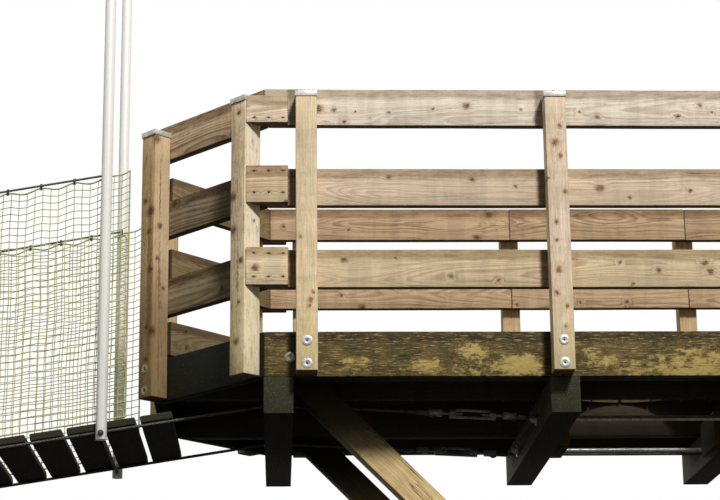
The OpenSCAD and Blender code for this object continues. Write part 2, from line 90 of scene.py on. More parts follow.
ahead = Vector((math.sin(CAMERA_YAW) * math.cos(CAMERA_PITCH),
                math.cos(CAMERA_YAW) * math.cos(CAMERA_PITCH), math.sin(CAMERA_PITCH)))
level = Vector((math.cos(CAMERA_YAW), -math.sin(CAMERA_YAW), 0))
upright = level.cross(ahead)
right = level * math.cos(CAMERA_ROLL) + upright * math.sin(CAMERA_ROLL)
up = upright * math.cos(CAMERA_ROLL) - level * math.sin(CAMERA_ROLL)
camera = add_object("camera", bpy.data.cameras.new("camera"))
camera.data.sensor_width = SENSOR
camera.data.lens = LENS
camera.matrix_world = Matrix((*zip(right, up, -ahead, CAMERA_AT), (0, 0, 0, 1)))
bpy.context.scene.camera = camera
bpy.context.scene.view_settings.view_transform = "Standard"
print("camera at", tuple(round(v, 3) for v in CAMERA_AT))


# %% [markdown]
# ## Short names for shader nodes
# A shader is a graph, and the same few steps come back all the time: a noise, a sum, a soft step between
# two values. A small class keeps those steps to one line each, so that a material reads like its recipe.

# %% Shader helper
class Recipe:
    """Adds nodes to one graph. An input that is a socket gets linked, and any other input is typed in."""

    def __init__(self, tree):
        self.tree = tree

    def put(self, socket, value):
        if isinstance(value, bpy.types.NodeSocket):
            self.tree.links.new(value, socket)
        else:
            socket.default_value = value

    def add(self, kind, inputs=None, **settings):
        node = self.tree.nodes.new(kind)
        for name, value in settings.items():
            setattr(node, name, value)
        for key, value in (inputs or {}).items():
            self.put(node.inputs[key], value)
        return node

    def math(self, operation, *values):
        return self.add("ShaderNodeMath", dict(enumerate(values)), operation=operation).outputs[0]

    def times(self, first, second, plus=0.0):
        return self.math("MULTIPLY_ADD", first, second, plus)

    def minus(self, first, second):
        return self.math("SUBTRACT", first, second)

    def apart(self, first, second):
        return self.math("ABSOLUTE", self.minus(first, second))

    def vector(self, operation, *values):
        node = self.add("ShaderNodeVectorMath", dict(enumerate(values)), operation=operation)
        return node.outputs["Value" if operation == "LENGTH" else "Vector"]

    def noise(self, place, stretch, detail=2.0, roughness=0.5, output="Fac"):
        """Cloudy noise. The stretch says about how often it repeats in a metre, on each axis."""
        stretched = self.vector("MULTIPLY", place, stretch)
        return self.add("ShaderNodeTexNoise", {"Vector": stretched, "Scale": 1.0, "Detail": detail,
                                               "Roughness": roughness}).outputs[output]

    def drift(self, place, stretch, reach, detail=2.0, roughness=0.5):
        """A push that changes from place to place: noise about zero, times the reach on each axis."""
        push = self.noise(place, stretch, detail, roughness, "Color")
        return self.vector("MULTIPLY", self.vector("SUBTRACT", push, (0.5, 0.5, 0.5)), reach)

    def step(self, value, low, high, bottom=0.0, top=1.0):
        """A soft step: bottom where value is at or under low, and top where it is at or over high."""
        return self.add("ShaderNodeMapRange", {"Value": value, "From Min": low, "From Max": high,
                                               "To Min": bottom, "To Max": top},
                        interpolation_type="SMOOTHSTEP").outputs[0]

    def fall(self, value, low, high):
        """A soft step down from one to nothing."""
        return self.step(value, low, high, 1.0, 0.0)

    def mix(self, share, first, second, blend="MIX"):
        return self.add("ShaderNodeMix", {0: share, 6: first, 7: second},
                        data_type="RGBA", blend_type=blend).outputs[2]

    def tint(self, colour, factor):
        return self.mix(1.0, colour, self.join(factor, factor, factor), "MULTIPLY")

    def coats(self, colour, *layers):
        """Lays each (mask, share, coat) over a colour in turn. A share of nothing leaves its coat out."""
        for mask, share, coat in layers:
            if share:
                colour = self.mix(self.times(mask, share), colour, coat)
        return colour

    def split(self, vector):
        return self.add("ShaderNodeSeparateXYZ", {0: vector}).outputs

    def join(self, x, y, z):
        return self.add("ShaderNodeCombineXYZ", {0: x, 1: y, 2: z}).outputs[0]

    def attribute(self, name, output):
        return self.add("ShaderNodeAttribute", attribute_name=name).outputs[output]

    def object_place(self):
        return self.add("ShaderNodeTexCoord").outputs["Object"]

    def board_place(self, *shift):
        """The place in a board, the board's number, and the place moved by it, so that no two match."""
        inside, seed = self.attribute("grain", "Vector"), self.attribute("board", "Fac")
        return inside, seed, self.vector("ADD", inside, self.join(*(self.times(seed, far) for far in shift)))


print("steps in the shader helper:", sum(callable(step) for step in vars(Recipe).values()))

# %% [markdown]
# ## Groups and materials
# A node group is a recipe with named inputs, so that one pattern can serve many finishes. Colours are given
# as they look on a screen, because that is how they are judged, and are turned into the linear values that
# shaders reckon with.

# %% Groups and materials
def rgb(red, green, blue):
    """A colour given as it looks on a screen, 0 to 255, turned into the linear values that a shader wants."""
    screen = np.array([red, green, blue]) / 255
    linear = np.where(screen <= 0.04045, screen / 12.92, ((screen + 0.055) / 1.055) ** 2.4)
    return (*linear.tolist(), 1.0)


def new_group(name, **inputs):
    """A shader node group whose named inputs are single numbers. An underscore stands for a space."""
    group = bpy.data.node_groups.new(name, "ShaderNodeTree")
    for label, default in inputs.items():
        socket = group.interface.new_socket(label.replace("_", " "), in_out="INPUT",
                                            socket_type="NodeSocketFloat")
        socket.default_value = default
    recipe = Recipe(group)
    return recipe, recipe.add("NodeGroupInput").outputs


def close_group(recipe, **outputs):
    """Gives the group its named outputs and links them."""
    labels = {label.replace("_", " "): value for label, value in outputs.items()}
    for label in labels:
        recipe.tree.interface.new_socket(label, in_out="OUTPUT", socket_type="NodeSocketFloat")
    recipe.add("NodeGroupOutput", labels)
    print("shader group:", recipe.tree.name, "with", len(recipe.tree.nodes), "nodes")


def use_group(recipe, name, **values):
    """Places a group in a material with its own values."""
    labels = {label.replace("_", " "): value for label, value in values.items()}
    return recipe.add("ShaderNodeGroup", labels, node_tree=bpy.data.node_groups[name]).outputs


def new_material(name, roughness, metallic=0.0):
    """A material with one Principled BSDF. Values that are the same all over are typed on its sockets."""
    material = bpy.data.materials.new(name)
    material.use_nodes = True
    shader = material.node_tree.nodes["Principled BSDF"].inputs
    shader["Roughness"].default_value = roughness
    shader["Metallic"].default_value = metallic
    return material, Recipe(material.node_tree), shader


def put_surface(recipe, shader, colour, roughness, height, strength, depth):
    """Links a colour, a roughness and a relief of some depth to the Principled BSDF."""
    recipe.put(shader["Base Color"], colour)
    recipe.put(shader["Roughness"], roughness)
    bump = recipe.add("ShaderNodeBump", {"Height": height, "Strength": strength, "Distance": depth})
    recipe.put(shader["Normal"], bump.outputs[0])


print("middle grey of a screen, as a shader takes it:", round(rgb(128, 128, 128)[0], 3))

# %% World and sun
SUN_TURN = math.radians(20)
SUN_RISE = math.radians(42)
SUN_STRENGTH = 3.45
SUN_WIDTH = math.radians(9)
SUN_COLOUR = (1.0, 0.97, 0.92)
SKY_COLOUR = (1.0, 0.95, 0.83, 1.0)
WHITE = (1.0, 1.0, 1.0, 1.0)
GROUND_STRENGTH = 0.02
SKY_STRENGTH = 0.21
HORIZON = (-0.35, 0.25)
BACK_GLOW = 6.5
BACK = (0.15, 0.9)

world = bpy.data.worlds.new("studio")
world.use_nodes = True
bpy.context.scene.world = world
world.node_tree.nodes.clear()
sky = Recipe(world.node_tree)
behind, rise = sky.split(sky.add("ShaderNodeTexCoord").outputs["Generated"])[1:]
soft_sky = sky.times(sky.step(rise, *HORIZON, GROUND_STRENGTH, SKY_STRENGTH),
                     sky.step(behind, *BACK, 1.0, BACK_GLOW))
seen = sky.add("ShaderNodeLightPath").outputs
straight = sky.math("MAXIMUM", seen["Is Camera Ray"], seen["Is Glossy Ray"])
glow = sky.add("ShaderNodeBackground", {"Color": SKY_COLOUR, "Strength": soft_sky}).outputs[0]
plain = sky.add("ShaderNodeBackground", {"Color": WHITE, "Strength": 1.0}).outputs[0]
both = sky.add("ShaderNodeMixShader", {0: straight, 1: glow, 2: plain}).outputs[0]
sky.add("ShaderNodeOutputWorld", {0: both})

sun_from = Vector((math.sin(SUN_TURN), -math.cos(SUN_TURN), math.tan(SUN_RISE)))
sun = add_object("sun", bpy.data.lights.new("sun", "SUN"))
sun.data.energy = SUN_STRENGTH
sun.data.angle = SUN_WIDTH
sun.data.color = SUN_COLOUR
sun.rotation_mode = "QUATERNION"
sun.rotation_quaternion = sun_from.to_track_quat("Z", "Y")
print("sun from", tuple(round(v, 2) for v in sun_from))

# %% Floor
FLOOR_DROP = 1.9
FLOOR_RADIUS = 90.0
FLOOR_POINTS = 64
FLOOR_ROUGHNESS = 0.9

floor_z = cad_box[0].z - FLOOR_DROP
turn = np.linspace(0, 2 * math.pi, FLOOR_POINTS, endpoint=False)
rim = np.stack([FLOOR_RADIUS * np.cos(turn), FLOOR_RADIUS * np.sin(turn), np.full(FLOOR_POINTS, floor_z)],
               axis=1)
floor_mesh = bpy.data.meshes.new("floor")
floor_mesh.from_pydata(rim.tolist(), [], [list(range(FLOOR_POINTS))])
floor = add_object("floor", floor_mesh)

# The camera sees a pale floor, but a dark one lights the object. From below, the floor is clear.
material, recipe, shader = new_material("floor_paint", FLOOR_ROUGHNESS)
seen = recipe.add("ShaderNodeLightPath").outputs["Is Camera Ray"]
recipe.put(shader["Base Color"], recipe.mix(seen, rgb(60, 60, 56), rgb(236, 236, 234)))
under = recipe.add("ShaderNodeNewGeometry").outputs["Backfacing"]
clear = recipe.add("ShaderNodeBsdfTransparent").outputs[0]
surface = material.node_tree.nodes["Principled BSDF"].outputs[0]
shown = recipe.add("ShaderNodeMixShader", {0: under, 1: surface, 2: clear}).outputs[0]
recipe.put(material.node_tree.nodes["Material Output"].inputs[0], shown)
floor_mesh.materials.append(material)
print("floor at", round(floor_z, 3))

# %% [markdown]
# ## Reading the frame and making meshes
# Each board keeps the place and the mitres of its CAD solid, so its corner points are read from the frame.
# A solid's triangles share points, and that is how the boards of one node are told apart. Every timber piece
# also carries attributes: where a point lies in its own board, a number that is different for each board,
# a tone, and whether it is on a cut end. The shaders need them so that the grain runs along each board and
# no two are alike.

# %% Reading solids
UP = np.array([0.0, 0.0, 1.0])
ACROSS = np.array([1.0, 0.0, 0.0])
BACKWARDS = np.array([0.0, 1.0, 0.0])
FRONTWARDS = -BACKWARDS


def islands(points_used, count):
    """A number for each point, the same for all that faces join: the lowest index spreads until it stops."""
    label = np.arange(count)
    while True:
        lowest = label[points_used].min(axis=1)
        spread = label.copy()
        for column in range(points_used.shape[1]):
            np.minimum.at(spread, points_used[:, column], lowest)
        if (spread == label).all():
            return label
        label = spread


def solids_of(node):
    """The corner points of each solid of a CAD node, as a list of arrays of x, y and z."""
    mesh = nodes[node].data
    places = np.empty(len(mesh.vertices) * 3, np.float32)
    mesh.vertices.foreach_get("co", places)
    corners = np.empty(len(mesh.loops), np.int32)
    mesh.loops.foreach_get("vertex_index", corners)
    points, index = np.unique(places.reshape(-1, 3), axis=0, return_inverse=True)
    label = islands(index.ravel()[corners].reshape(-1, 3), len(points))
    return [points[label == number].astype(float) for number in np.unique(label)]


print("posts on the front:", len(solids_of("posts_front")))

# %% Making pieces
ATTRIBUTE_KINDS = {1: ("FLOAT", "value"), 3: ("FLOAT_VECTOR", "vector"), 4: ("FLOAT_COLOR", "color")}


def piece(name, points, faces, material, slot, replaced=(), smooth=35, **attributes):
    """One finished piece at the origin. Attributes are given per point: single numbers, or rows of 3 or 4."""
    mesh = bpy.data.meshes.new(name)
    mesh.from_pydata(np.asarray(points).tolist(), [], [list(map(int, face)) for face in faces])
    for label, values in attributes.items():
        values = np.asarray(values, np.float32)
        kind, field = ATTRIBUTE_KINDS[values.size // len(values)]
        mesh.attributes.new(label, kind, "POINT").data.foreach_set(field, values.ravel())
    mesh.shade_smooth()
    mesh.set_sharp_from_angle(angle=math.radians(smooth))
    mesh.materials.append(material)
    mesh.update()
    finished = add_object(name, mesh)
    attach(finished, "root")
    if replaced:
        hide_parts(*replaced)
    print(f"{name}: {len(mesh.vertices)} points, {len(mesh.polygons)} faces")
    return finished


def gather(parts):
    """Joins the points, faces and attribute rows of many parts into one set of arrays."""
    points, faces, extras, shift = [], [], [], 0
    for part_points, part_faces, *part_extras in parts:
        points.append(part_points)
        faces.extend([[corner + shift for corner in face] for face in part_faces])
        extras.append(part_extras)
        shift += len(part_points)
    return (np.concatenate(points), faces, *[np.concatenate(column) for column in zip(*extras)])


def joined(name, parts, material, slot, replaced=(), smooth=40):
    return piece(name, *gather(parts), material, slot, replaced, smooth)


print("kinds of attribute:", [kind for kind, field in ATTRIBUTE_KINDS.values()])

# %% [markdown]
# ## A board as a profile along a path
# A sawn board is a rectangle with its arrises taken off, carried along its length. The two ends may be cut
# square or mitred. One function makes all such timbers: rails, fascia, posts, blocks and planks.
# Corner k of the profile is an arc round a point one rounding in from both faces. Near each end the whole
# profile draws in by rounding * (1 - sine), which takes off the end's arris too. A few long waves, less than
# a millimetre high, keep the faces from being dead flat.

# %% Faces along a path
CORNER_STEPS = 3
STATIONS = 9


def tube_faces(rows, columns):
    """Quads between neighbouring rows of a closed profile, with a cap on the first row and on the last."""
    row, column = np.meshgrid(np.arange(rows - 1), np.arange(columns), indexing="ij")
    after = (column + 1) % columns
    quads = np.stack([row * columns + column, row * columns + after,
                      (row + 1) * columns + after, (row + 1) * columns + column], axis=-1).reshape(-1, 4)
    first = np.arange(columns)[::-1]
    last = (rows - 1) * columns + np.arange(columns)
    return quads.tolist() + [first.tolist(), last.tolist()]


print("faces of one board:", len(tube_faces(STATIONS + 4, 4 * CORNER_STEPS)))

# %% Boards
END_DRAW = np.array([0.85, 0.30])
END_RUN = np.array([0.0, 0.40])
WAVE_HEIGHT = 0.0007


def waves(run, slow, quick, phase):
    return WAVE_HEIGHT * (np.sin(run * slow + phase[0]) + 0.5 * np.sin(run * quick + phase[1]))


def board(corners, along, outwards, rounding, rng):
    """Points, faces, board coordinates and end mask of one timber whose long faces are square to each other.
    Place = along * s + upwards * t + outwards * q, with t and q on the rounded profile,
    and s from the start cut to the end cut, each of which may slant with q."""
    upwards = np.cross(outwards, along)
    s, t, q = corners @ along, corners @ upwards, corners @ outwards
    inner = q < (q.min() + q.max()) / 2
    span = np.ptp(q)
    angle = (np.arange(4)[:, None] * 90 + np.linspace(0, 90, CORNER_STEPS)).ravel() * math.pi / 180
    side_t = np.repeat([1, -1, -1, 1], CORNER_STEPS)
    side_q = np.repeat([1, 1, -1, -1], CORNER_STEPS)
    share = np.concatenate([np.zeros(2), np.linspace(0, 1, STATIONS), np.ones(2)])
    draw = np.concatenate([END_DRAW, np.zeros(STATIONS), END_DRAW[::-1]]) * rounding
    run_in = np.repeat([1, -1], [(STATIONS + 1) // 2, STATIONS // 2])
    run_in[STATIONS // 2] = -1
    run = np.concatenate([END_RUN, run_in, -END_RUN[::-1]]) * rounding
    radius = rounding - draw[:, None]
    point_t = (t.min() + t.max()) / 2 + side_t * (np.ptp(t) / 2 - rounding) + radius * np.cos(angle)
    point_q = (q.min() + q.max()) / 2 + side_q * (span / 2 - rounding) + radius * np.sin(angle)
    slant = (point_q - q.min()) / span
    start = s[inner].min() + slant * (s[~inner].min() - s[inner].min())
    end = s[inner].max() + slant * (s[~inner].max() - s[inner].max())
    point_s = start + share[:, None] * (end - start) + run[:, None]
    phase = rng.uniform(0, 2 * math.pi, 4)
    bow = waves(point_s, 2.3, 7.1, phase[:2])
    cup = waves(point_s, 3.1, 8.7, phase[2:])
    places = ((point_s[..., None] * along) + (point_t + bow)[..., None] * upwards
              + (point_q + cup - WAVE_HEIGHT)[..., None] * outwards).reshape(-1, 3)
    inside = np.stack([point_s - (s.min() + s.max()) / 2, point_t - t.max(), q.max() - point_q], axis=-1)
    rows, columns = point_s.shape
    return places, tube_faces(rows, columns), inside.reshape(-1, 3), np.repeat(draw > 0, columns)


sample = board(solids_of("posts_front")[0], UP, FRONTWARDS, 0.004, np.random.default_rng(0))
print("size of one rounded post:", np.ptp(sample[0], axis=0).round(3))

# %% Timber pieces
SEED_SPAN = 40


def at(rule, centre):
    """A direction that is the same for all boards, or that follows from the place of a board's centre."""
    return np.array(rule(centre) if callable(rule) else rule, float)


def shade_of(tone, centre, rng):
    """The tone of a board: red, green, blue and its share of chance knots, which is 1 unless it is given."""
    return np.append(tone(centre, rng), 1.0)[:4]


def timber_piece(node, along, outwards, material, slot, tone, rounding=0.004):
    """Swaps a CAD node for rounded boards, one for each of its solids."""
    rng = np.random.default_rng(len(node) * 101 + sum(map(ord, node)))
    parts = []
    for corners in solids_of(node):
        centre = corners.mean(axis=0)
        points, faces, inside, end_cut = board(corners, at(along, centre), at(outwards, centre), rounding,
                                               rng)
        shade = np.tile(shade_of(tone, centre, rng), (len(points), 1))
        seed = np.full(len(points), rng.uniform(0, SEED_SPAN))
        parts.append((points, faces, inside, end_cut, seed, shade))
    points, faces, inside, end_cut, seed, shade = gather(parts)
    piece(node + "_boards", points, faces, material, slot, [node],
          grain=inside, end_cut=end_cut, board=seed, tone=shade)


print("a rule may be fixed, such as", at(UP, None), "or follow from a centre")

# %% [markdown]
# ## What a log leaves in a board
# Grain is not a stripe painted on a face. It is the cut through the year rings of a log, so the shader works
# out how far each point lies from the log's heart, which wanders a little along the board. That gives the
# long flames on a flat-sawn face, fine lines on a rift-sawn one, and arcs on the ends, all from one formula.
# Knots push the rings aside, and drying opens thin cracks along the fibres.

# %% Grain group
FAR = 99.0
FIGURE_NOISES = {
    "wobble": ((3.0, 22, 22), 2.0), "strength": ((0.9, 9, 9), 2.0), "blotch": ((2.2, 7, 7), 3.0, 0.6),
    "fibre": ((7, 330, 330), 3.0, 0.6), "fine": ((22, 1100, 1100), 2.0, 0.6),
    "crack": ((1.3, 46, 46), 2.0, 0.55), "crack_region": ((1.9, 13, 13), 1.0), "star": ((60, 260, 60), 1.0)}

recipe, given = new_group("timber_figure", Ring_Width=0.006, Knots=0.5, Knot_Gap=0.34, Knot_Size=1.0,
                          Marked_Rim=FAR, Cracks=0.5)
inside, seed, moved = recipe.board_place(7.13, 3.71, 5.37)
noise = {name: recipe.noise(moved, *values) for name, values in FIGURE_NOISES.items()}
chance = recipe.add("ShaderNodeTexWhiteNoise", {"W": seed}, noise_dimensions="1D").outputs["Color"]
chance_a, chance_b = recipe.split(chance)[:2]
x, y, z = recipe.split(inside)
print("noises of the grain:", len(noise))

# %% Knots
# One chance in each cell of a loose grid on the face, three times as long as high
cell_long = given["Knot Gap"]
cell_high = recipe.times(cell_long, 0.30, 0.012)
grid = recipe.join(recipe.math("DIVIDE", recipe.times(seed, 3.3, x), cell_long),
                   recipe.math("DIVIDE", recipe.times(seed, 1.7, y), cell_high), 0.0)
cell = recipe.add("ShaderNodeTexVoronoi", {"Vector": grid, "Scale": 1.0, "Randomness": 0.8},
                  voronoi_dimensions="2D").outputs
away = recipe.vector("MULTIPLY", recipe.vector("SUBTRACT", cell["Position"], grid),
                     recipe.join(recipe.times(cell_long, 0.85), cell_high, 0.0))
away = recipe.vector("ADD", away, recipe.drift(moved, (60, 60, 60), (0.020, 0.020, 0.0)))
pick_a, pick_b = recipe.split(cell["Color"])[:2]
absent = recipe.math("GREATER_THAN", pick_a, recipe.times(given["Knots"], recipe.attribute("tone", "Alpha")))
radius = recipe.times(recipe.times(recipe.math("POWER", pick_b, 2.0), 0.011, 0.0055), given["Knot Size"])
rim = recipe.times(absent, FAR, recipe.math("DIVIDE", recipe.vector("LENGTH", away), radius))
rim = recipe.math("MINIMUM", rim, given["Marked Rim"])
knot = recipe.fall(rim, 0.55, 1.15)
print("nodes with the knots:", len(recipe.tree.nodes))

# %% Year rings
# The distance from a heart that lies behind the face and wanders along the board
heart_y = recipe.times(chance_a, -0.12, -0.02)
heart_z = recipe.times(chance_b, 0.06, 0.035)
off_heart = recipe.vector("ADD", recipe.join(0.0, recipe.minus(y, heart_y), recipe.math("ADD", z, heart_z)),
                          recipe.drift(moved, (0.95, 0.0, 0.0), (0.0, 0.12, 0.15), 1.5, 0.4))
distance = recipe.times(recipe.minus(noise["wobble"], 0.5), 0.012, recipe.vector("LENGTH", off_heart))
distance = recipe.times(recipe.fall(rim, 0.6, 4.5), 0.008, distance)
ring_count = recipe.math("DIVIDE", distance, given["Ring Width"])
uneven = recipe.add("ShaderNodeTexNoise", {"W": recipe.math("ADD", ring_count, seed), "Scale": 0.45,
                                           "Detail": 1.0}, noise_dimensions="1D").outputs["Fac"]
part_of_ring = recipe.math("FRACT", recipe.times(uneven, 2.2, ring_count))
late = recipe.times(recipe.step(part_of_ring, 0.25, 0.82), recipe.fall(part_of_ring, 0.88, 1.0))
print("nodes with the rings:", len(recipe.tree.nodes))

# %% Cracks and relief
# Cracks run along the fibres and across the knots. The relief adds up what stands proud and what is sunk.
crack_line = recipe.fall(recipe.apart(noise["crack"], 0.5), 0.004, 0.012)
crack_here = recipe.step(recipe.minus(given["Cracks"], noise["crack_region"]), 0.0, 0.06)
star = recipe.times(knot, recipe.step(noise["star"], 0.56, 0.62))
crack = recipe.math("MAXIMUM", recipe.times(crack_line, crack_here), star)
relief = recipe.times(noise["fibre"], 0.5)
for part, height in ((late, 0.35), (noise["fine"], 0.25), (knot, 0.3), (crack, -2.0)):
    relief = recipe.times(part, height, relief)
close_group(recipe, Late_Wood=recipe.times(late, recipe.step(noise["strength"], 0.25, 0.75, 0.35, 1.0)),
            Fibre=noise["fibre"], Knot=knot, Knot_Ring=recipe.fall(recipe.apart(rim, 1.1), 0.1, 0.6),
            Knot_Stain=recipe.fall(rim, 0.8, 2.9), Crack=crack, Relief=relief,
            Blotch=recipe.step(noise["blotch"], 0.32, 0.68))

# %% [markdown]
# ## What weather leaves on a board
# A second group holds what comes from outside. The upper edge stays wet after rain and goes brown. Dirt
# settles in streaks, mostly in that wet band. Algae make a green film low down, and lichen makes pale yellow
# patches. Each is a mask made of noise that is stretched along the board, and an amount says how much shows.

# %% Weather group
WEATHER_NOISES = {
    "wavy": ((4, 4, 4), 3.0, 0.6), "mottle": ((11, 62, 62), 5.0, 0.72), "film": ((6, 16, 16), 5.0, 0.65),
    "crust": ((26, 40, 40), 6.0, 0.80), "region": ((1.1, 2, 2), 1.0), "speck": ((70, 120, 120), 4.0, 0.80),
    "streak": ((2.4, 105, 105), 4.0, 0.7), "drip": ((15, 1.8, 1.8), 3.0, 0.62)}

recipe, given = new_group("weather", Band=0.0, Band_Height=0.045, Dirt=0.3, Film=0.0, Lichen=0.0)
inside, seed, moved = recipe.board_place(2.31, 1.0, 1.0)
noise = {name: recipe.noise(moved, *values) for name, values in WEATHER_NOISES.items()}
height = recipe.split(inside)[1]
wavy_height = recipe.math("ADD", height, recipe.times(noise["wavy"], 0.034, -0.017))
above = recipe.math("ADD", wavy_height, given["Band Height"])
wet = recipe.times(recipe.step(above, -0.014, 0.014), given["Band"])
dirt = recipe.times(recipe.step(recipe.times(wet, 0.16, noise["mottle"]), 0.53, 0.72), given["Dirt"])
film = recipe.step(recipe.minus(noise["film"], recipe.minus(0.95, given["Film"])), -0.34, 0.10)
crust = recipe.times(recipe.minus(noise["region"], 0.5), 0.42, noise["crust"])
crust = recipe.times(recipe.fall(height, -0.17, -0.05), 0.11, crust)
crust_edge = recipe.minus(0.80, recipe.times(given["Lichen"], 0.30))
speck = recipe.times(recipe.step(noise["speck"], 0.56, 0.62), recipe.step(height, -0.14, -0.03, 0.25, 1.0))
close_group(recipe, Wet=wet, Dirt=dirt, Film=film, Speck=speck, Streak=noise["streak"], Drip=noise["drip"],
            Lichen=recipe.step(recipe.minus(crust, crust_edge), -0.12, 0.08))

# %% [markdown]
# ## One timber recipe for all finishes
# Rails, posts, fascia, bearers, braces, joists, deck boards and planks are all softwood. What differs is how
# wet they stay, how much grows on them and how far the sun has bleached them. So one function builds a
# timber material from a few colours and amounts, and each finish is a call with its own values. It also paints
# shade on faces that look down and on given spots, and can paint light on faces that look right. The knots,
# stains and patches that stand out in the photograph are given as places: x, z and radius, in metres.

# %% Marked places
WOOD_SPECULAR = 0.22
WOOD_ROUGHNESS = 0.8
FILM_FOOT = 1.18
FILM_TOP = 1.9
PATCH_STRETCH = (0.6, 0.0, 1.2)
PATCH_GAIN = 0.75
STAIN_STRETCH = (1.0, 0.0, 0.025)
CRACK_COLOUR = (0.030, 0.020, 0.012, 1.0)
# Painted light: the colour that faces looking right are paled towards.
PAINTED_SUNLIT = rgb(232, 228, 220)
LOOSE_FIBRE = rgb(218, 192, 136)
LICHEN_DOT = rgb(168, 172, 140)


def darker(colour, *factors):
    """A colour times one factor, or times three."""
    red, green, blue = factors if len(factors) == 3 else factors * 3
    return (colour[0] * red, colour[1] * green, colour[2] * blue, 1.0)


def marked_rim(recipe, marks, stretch):
    """How many radii a point lies from the nearest mark, on a place that noise warps a little."""
    place = recipe.object_place()
    place = recipe.vector("ADD", place, recipe.drift(place, (70, 70, 70), (0.016, 0.016, 0.016)))
    nearest = FAR
    for x, z, radius in marks:
        away = recipe.vector("MULTIPLY", recipe.vector("SUBTRACT", place, (x, 0.0, z)), stretch)
        rim = recipe.math("DIVIDE", recipe.vector("LENGTH", away), 0.8 * radius)
        nearest = recipe.math("MINIMUM", rim, nearest)
    return nearest


print("bleached wood at half its light:", [round(value, 3) for value in darker(PAINTED_SUNLIT, 0.5)])

# %% Timber recipe
def timber(name, early, late, rings=0.006, figure=0.6, knots=0.45, knot_gap=0.34, knot_size=1.0,
           knot_colour=rgb(78, 53, 36), cracks=0.45, grey=0.25, streaks=(0.80, 1.16), drips=0.12, band=0.0,
           dirt=0.3, specks=0.0, film=0.0, film_foot=0.0, film_colour=None, lichen=0.0, lichen_colour=None,
           dots=0.0, frayed=0.0, painted_light_right=0.0, end_colour=None, painted_underside_shade=0.35, marks=(),
           mark_stretch=(0.8, 0.0, 1.0), patches=(), stains=(), painted_shade=(), painted_shade_stretch=(1.0, 0.0, 0.0),
           painted_shade_share=0.6, painted_shade_tone=(0.20, 0.16, 0.11)):
    """Softwood. early and late are the colours of a ring's two halves, and figure how much they differ.
    band browns the upper edge, film greens the whole face, and film_foot only the low part of the object.
    marks are knots with known places, stains are long dark splits, and painted_shade are spots darkened as
    painted shade.
    painted_light_right pales the faces that look right, as painted light; frayed adds pale loose fibres, and
    dots adds specks of lichen."""
    material, recipe, shader = new_material(name, WOOD_ROUGHNESS)
    shader["Specular IOR Level"].default_value = WOOD_SPECULAR
    facing = recipe.split(recipe.add("ShaderNodeNewGeometry").outputs["Normal"])
    inside = recipe.attribute("grain", "Vector")
    film_share = 0.85 if film or film_foot else 0.0
    lichen_share = 0.8 if lichen else 0.0
    if film_foot:
        film = recipe.step(recipe.split(recipe.object_place())[2], FILM_FOOT, FILM_TOP, film_foot, film)
    if patches:
        rim = marked_rim(recipe, patches, PATCH_STRETCH)
        lichen = recipe.step(rim, 0.3, 1.6, lichen + PATCH_GAIN, lichen)
    wood = use_group(recipe, "timber_figure", Ring_Width=rings, Knots=knots, Knot_Gap=knot_gap,
                     Knot_Size=knot_size, Cracks=cracks, Marked_Rim=marked_rim(recipe, marks, mark_stretch))
    outside = use_group(recipe, "weather", Band=band, Dirt=dirt, Film=film, Lichen=lichen)

    colour = recipe.coats(early, (wood["Late Wood"], figure, late))
    colour = recipe.tint(colour, recipe.step(wood["Fibre"], 0.3, 0.7, *streaks))
    mean = sum(early[:3]) / 3
    faded = (*[0.55 * value + 0.45 * mean for value in early[:3]], 1.0)
    colour = recipe.coats(
        colour, (wood["Blotch"], grey, faded), (wood["Knot Stain"], 0.34, darker(late, 0.80, 0.70, 0.6)),
        (outside["Wet"], 1.0, darker(late, 0.72, 0.74, 0.70)))
    colour = recipe.tint(colour, recipe.step(outside["Drip"], 0.36, 0.60, 1.0 - drips, 1.0 + 0.2 * drips))
    colour = recipe.tint(colour, recipe.step(outside["Streak"], 0.38, 0.62, 0.92, 1.05))

    loose = recipe.step(recipe.noise(inside, (17, 190, 190), 4.0, 0.75), 0.54, 0.64)
    # Painted shade: given spots, such as strips beside the posts, are darkened where shade falls.
    in_painted_shade = recipe.fall(marked_rim(recipe, painted_shade, painted_shade_stretch), 0.7, 1.5)
    in_stain = recipe.fall(marked_rim(recipe, stains, STAIN_STRETCH), 0.4, 1.3)
    # Painted light: faces that look right are paled by painted_light_right.
    colour = recipe.coats(
        colour, (recipe.step(facing[0], 0.3, 0.7), painted_light_right, PAINTED_SUNLIT),
        (outside["Film"], film_share, film_colour), (outside["Lichen"], lichen_share, lichen_colour),
        (outside["Dirt"], 1.0, darker(late, 0.30, 0.27, 0.22)),
        (loose, frayed, LOOSE_FIBRE), (in_painted_shade, painted_shade_share if painted_shade else 0.0, darker(late, *painted_shade_tone)),
        (in_stain, 0.62 if stains else 0.0, darker(late, 0.24, 0.17, 0.11)),
        (outside["Speck"], specks, darker(late, 0.2, 0.16, 0.12)),
        (wood["Knot Ring"], 0.35, darker(knot_colour, 1.7)), (wood["Knot"], 0.72, knot_colour),
        (wood["Crack"], 0.82, CRACK_COLOUR))

    end_colour = end_colour or darker(late, 0.55)
    sawn = recipe.coats(end_colour, (wood["Late Wood"], 1.0, darker(end_colour, 0.6)),
                        (outside["Dirt"], 1.0, darker(end_colour, 0.35)))
    dot = recipe.step(recipe.noise(inside, (240, 240, 240), 1.0), 0.66, 0.72)
    colour = recipe.coats(colour, (recipe.attribute("end_cut", "Fac"), 0.85, sawn), (dot, dots, LICHEN_DOT))
    colour = recipe.mix(1.0, colour, recipe.attribute("tone", "Color"), "MULTIPLY")
    # Painted shade: faces that look down are darkened by painted_underside_shade.
    colour = recipe.tint(colour, recipe.step(facing[2], -0.95, -0.3, painted_underside_shade, 1.0))
    roughness = recipe.step(wood["Fibre"], 0.2, 0.8, WOOD_ROUGHNESS - 0.10, WOOD_ROUGHNESS + 0.08)
    put_surface(recipe, shader, colour, roughness, wood["Relief"], 0.55, 0.0012)
    return material


print("amounts that a finish can set:", len(timber.__defaults__))

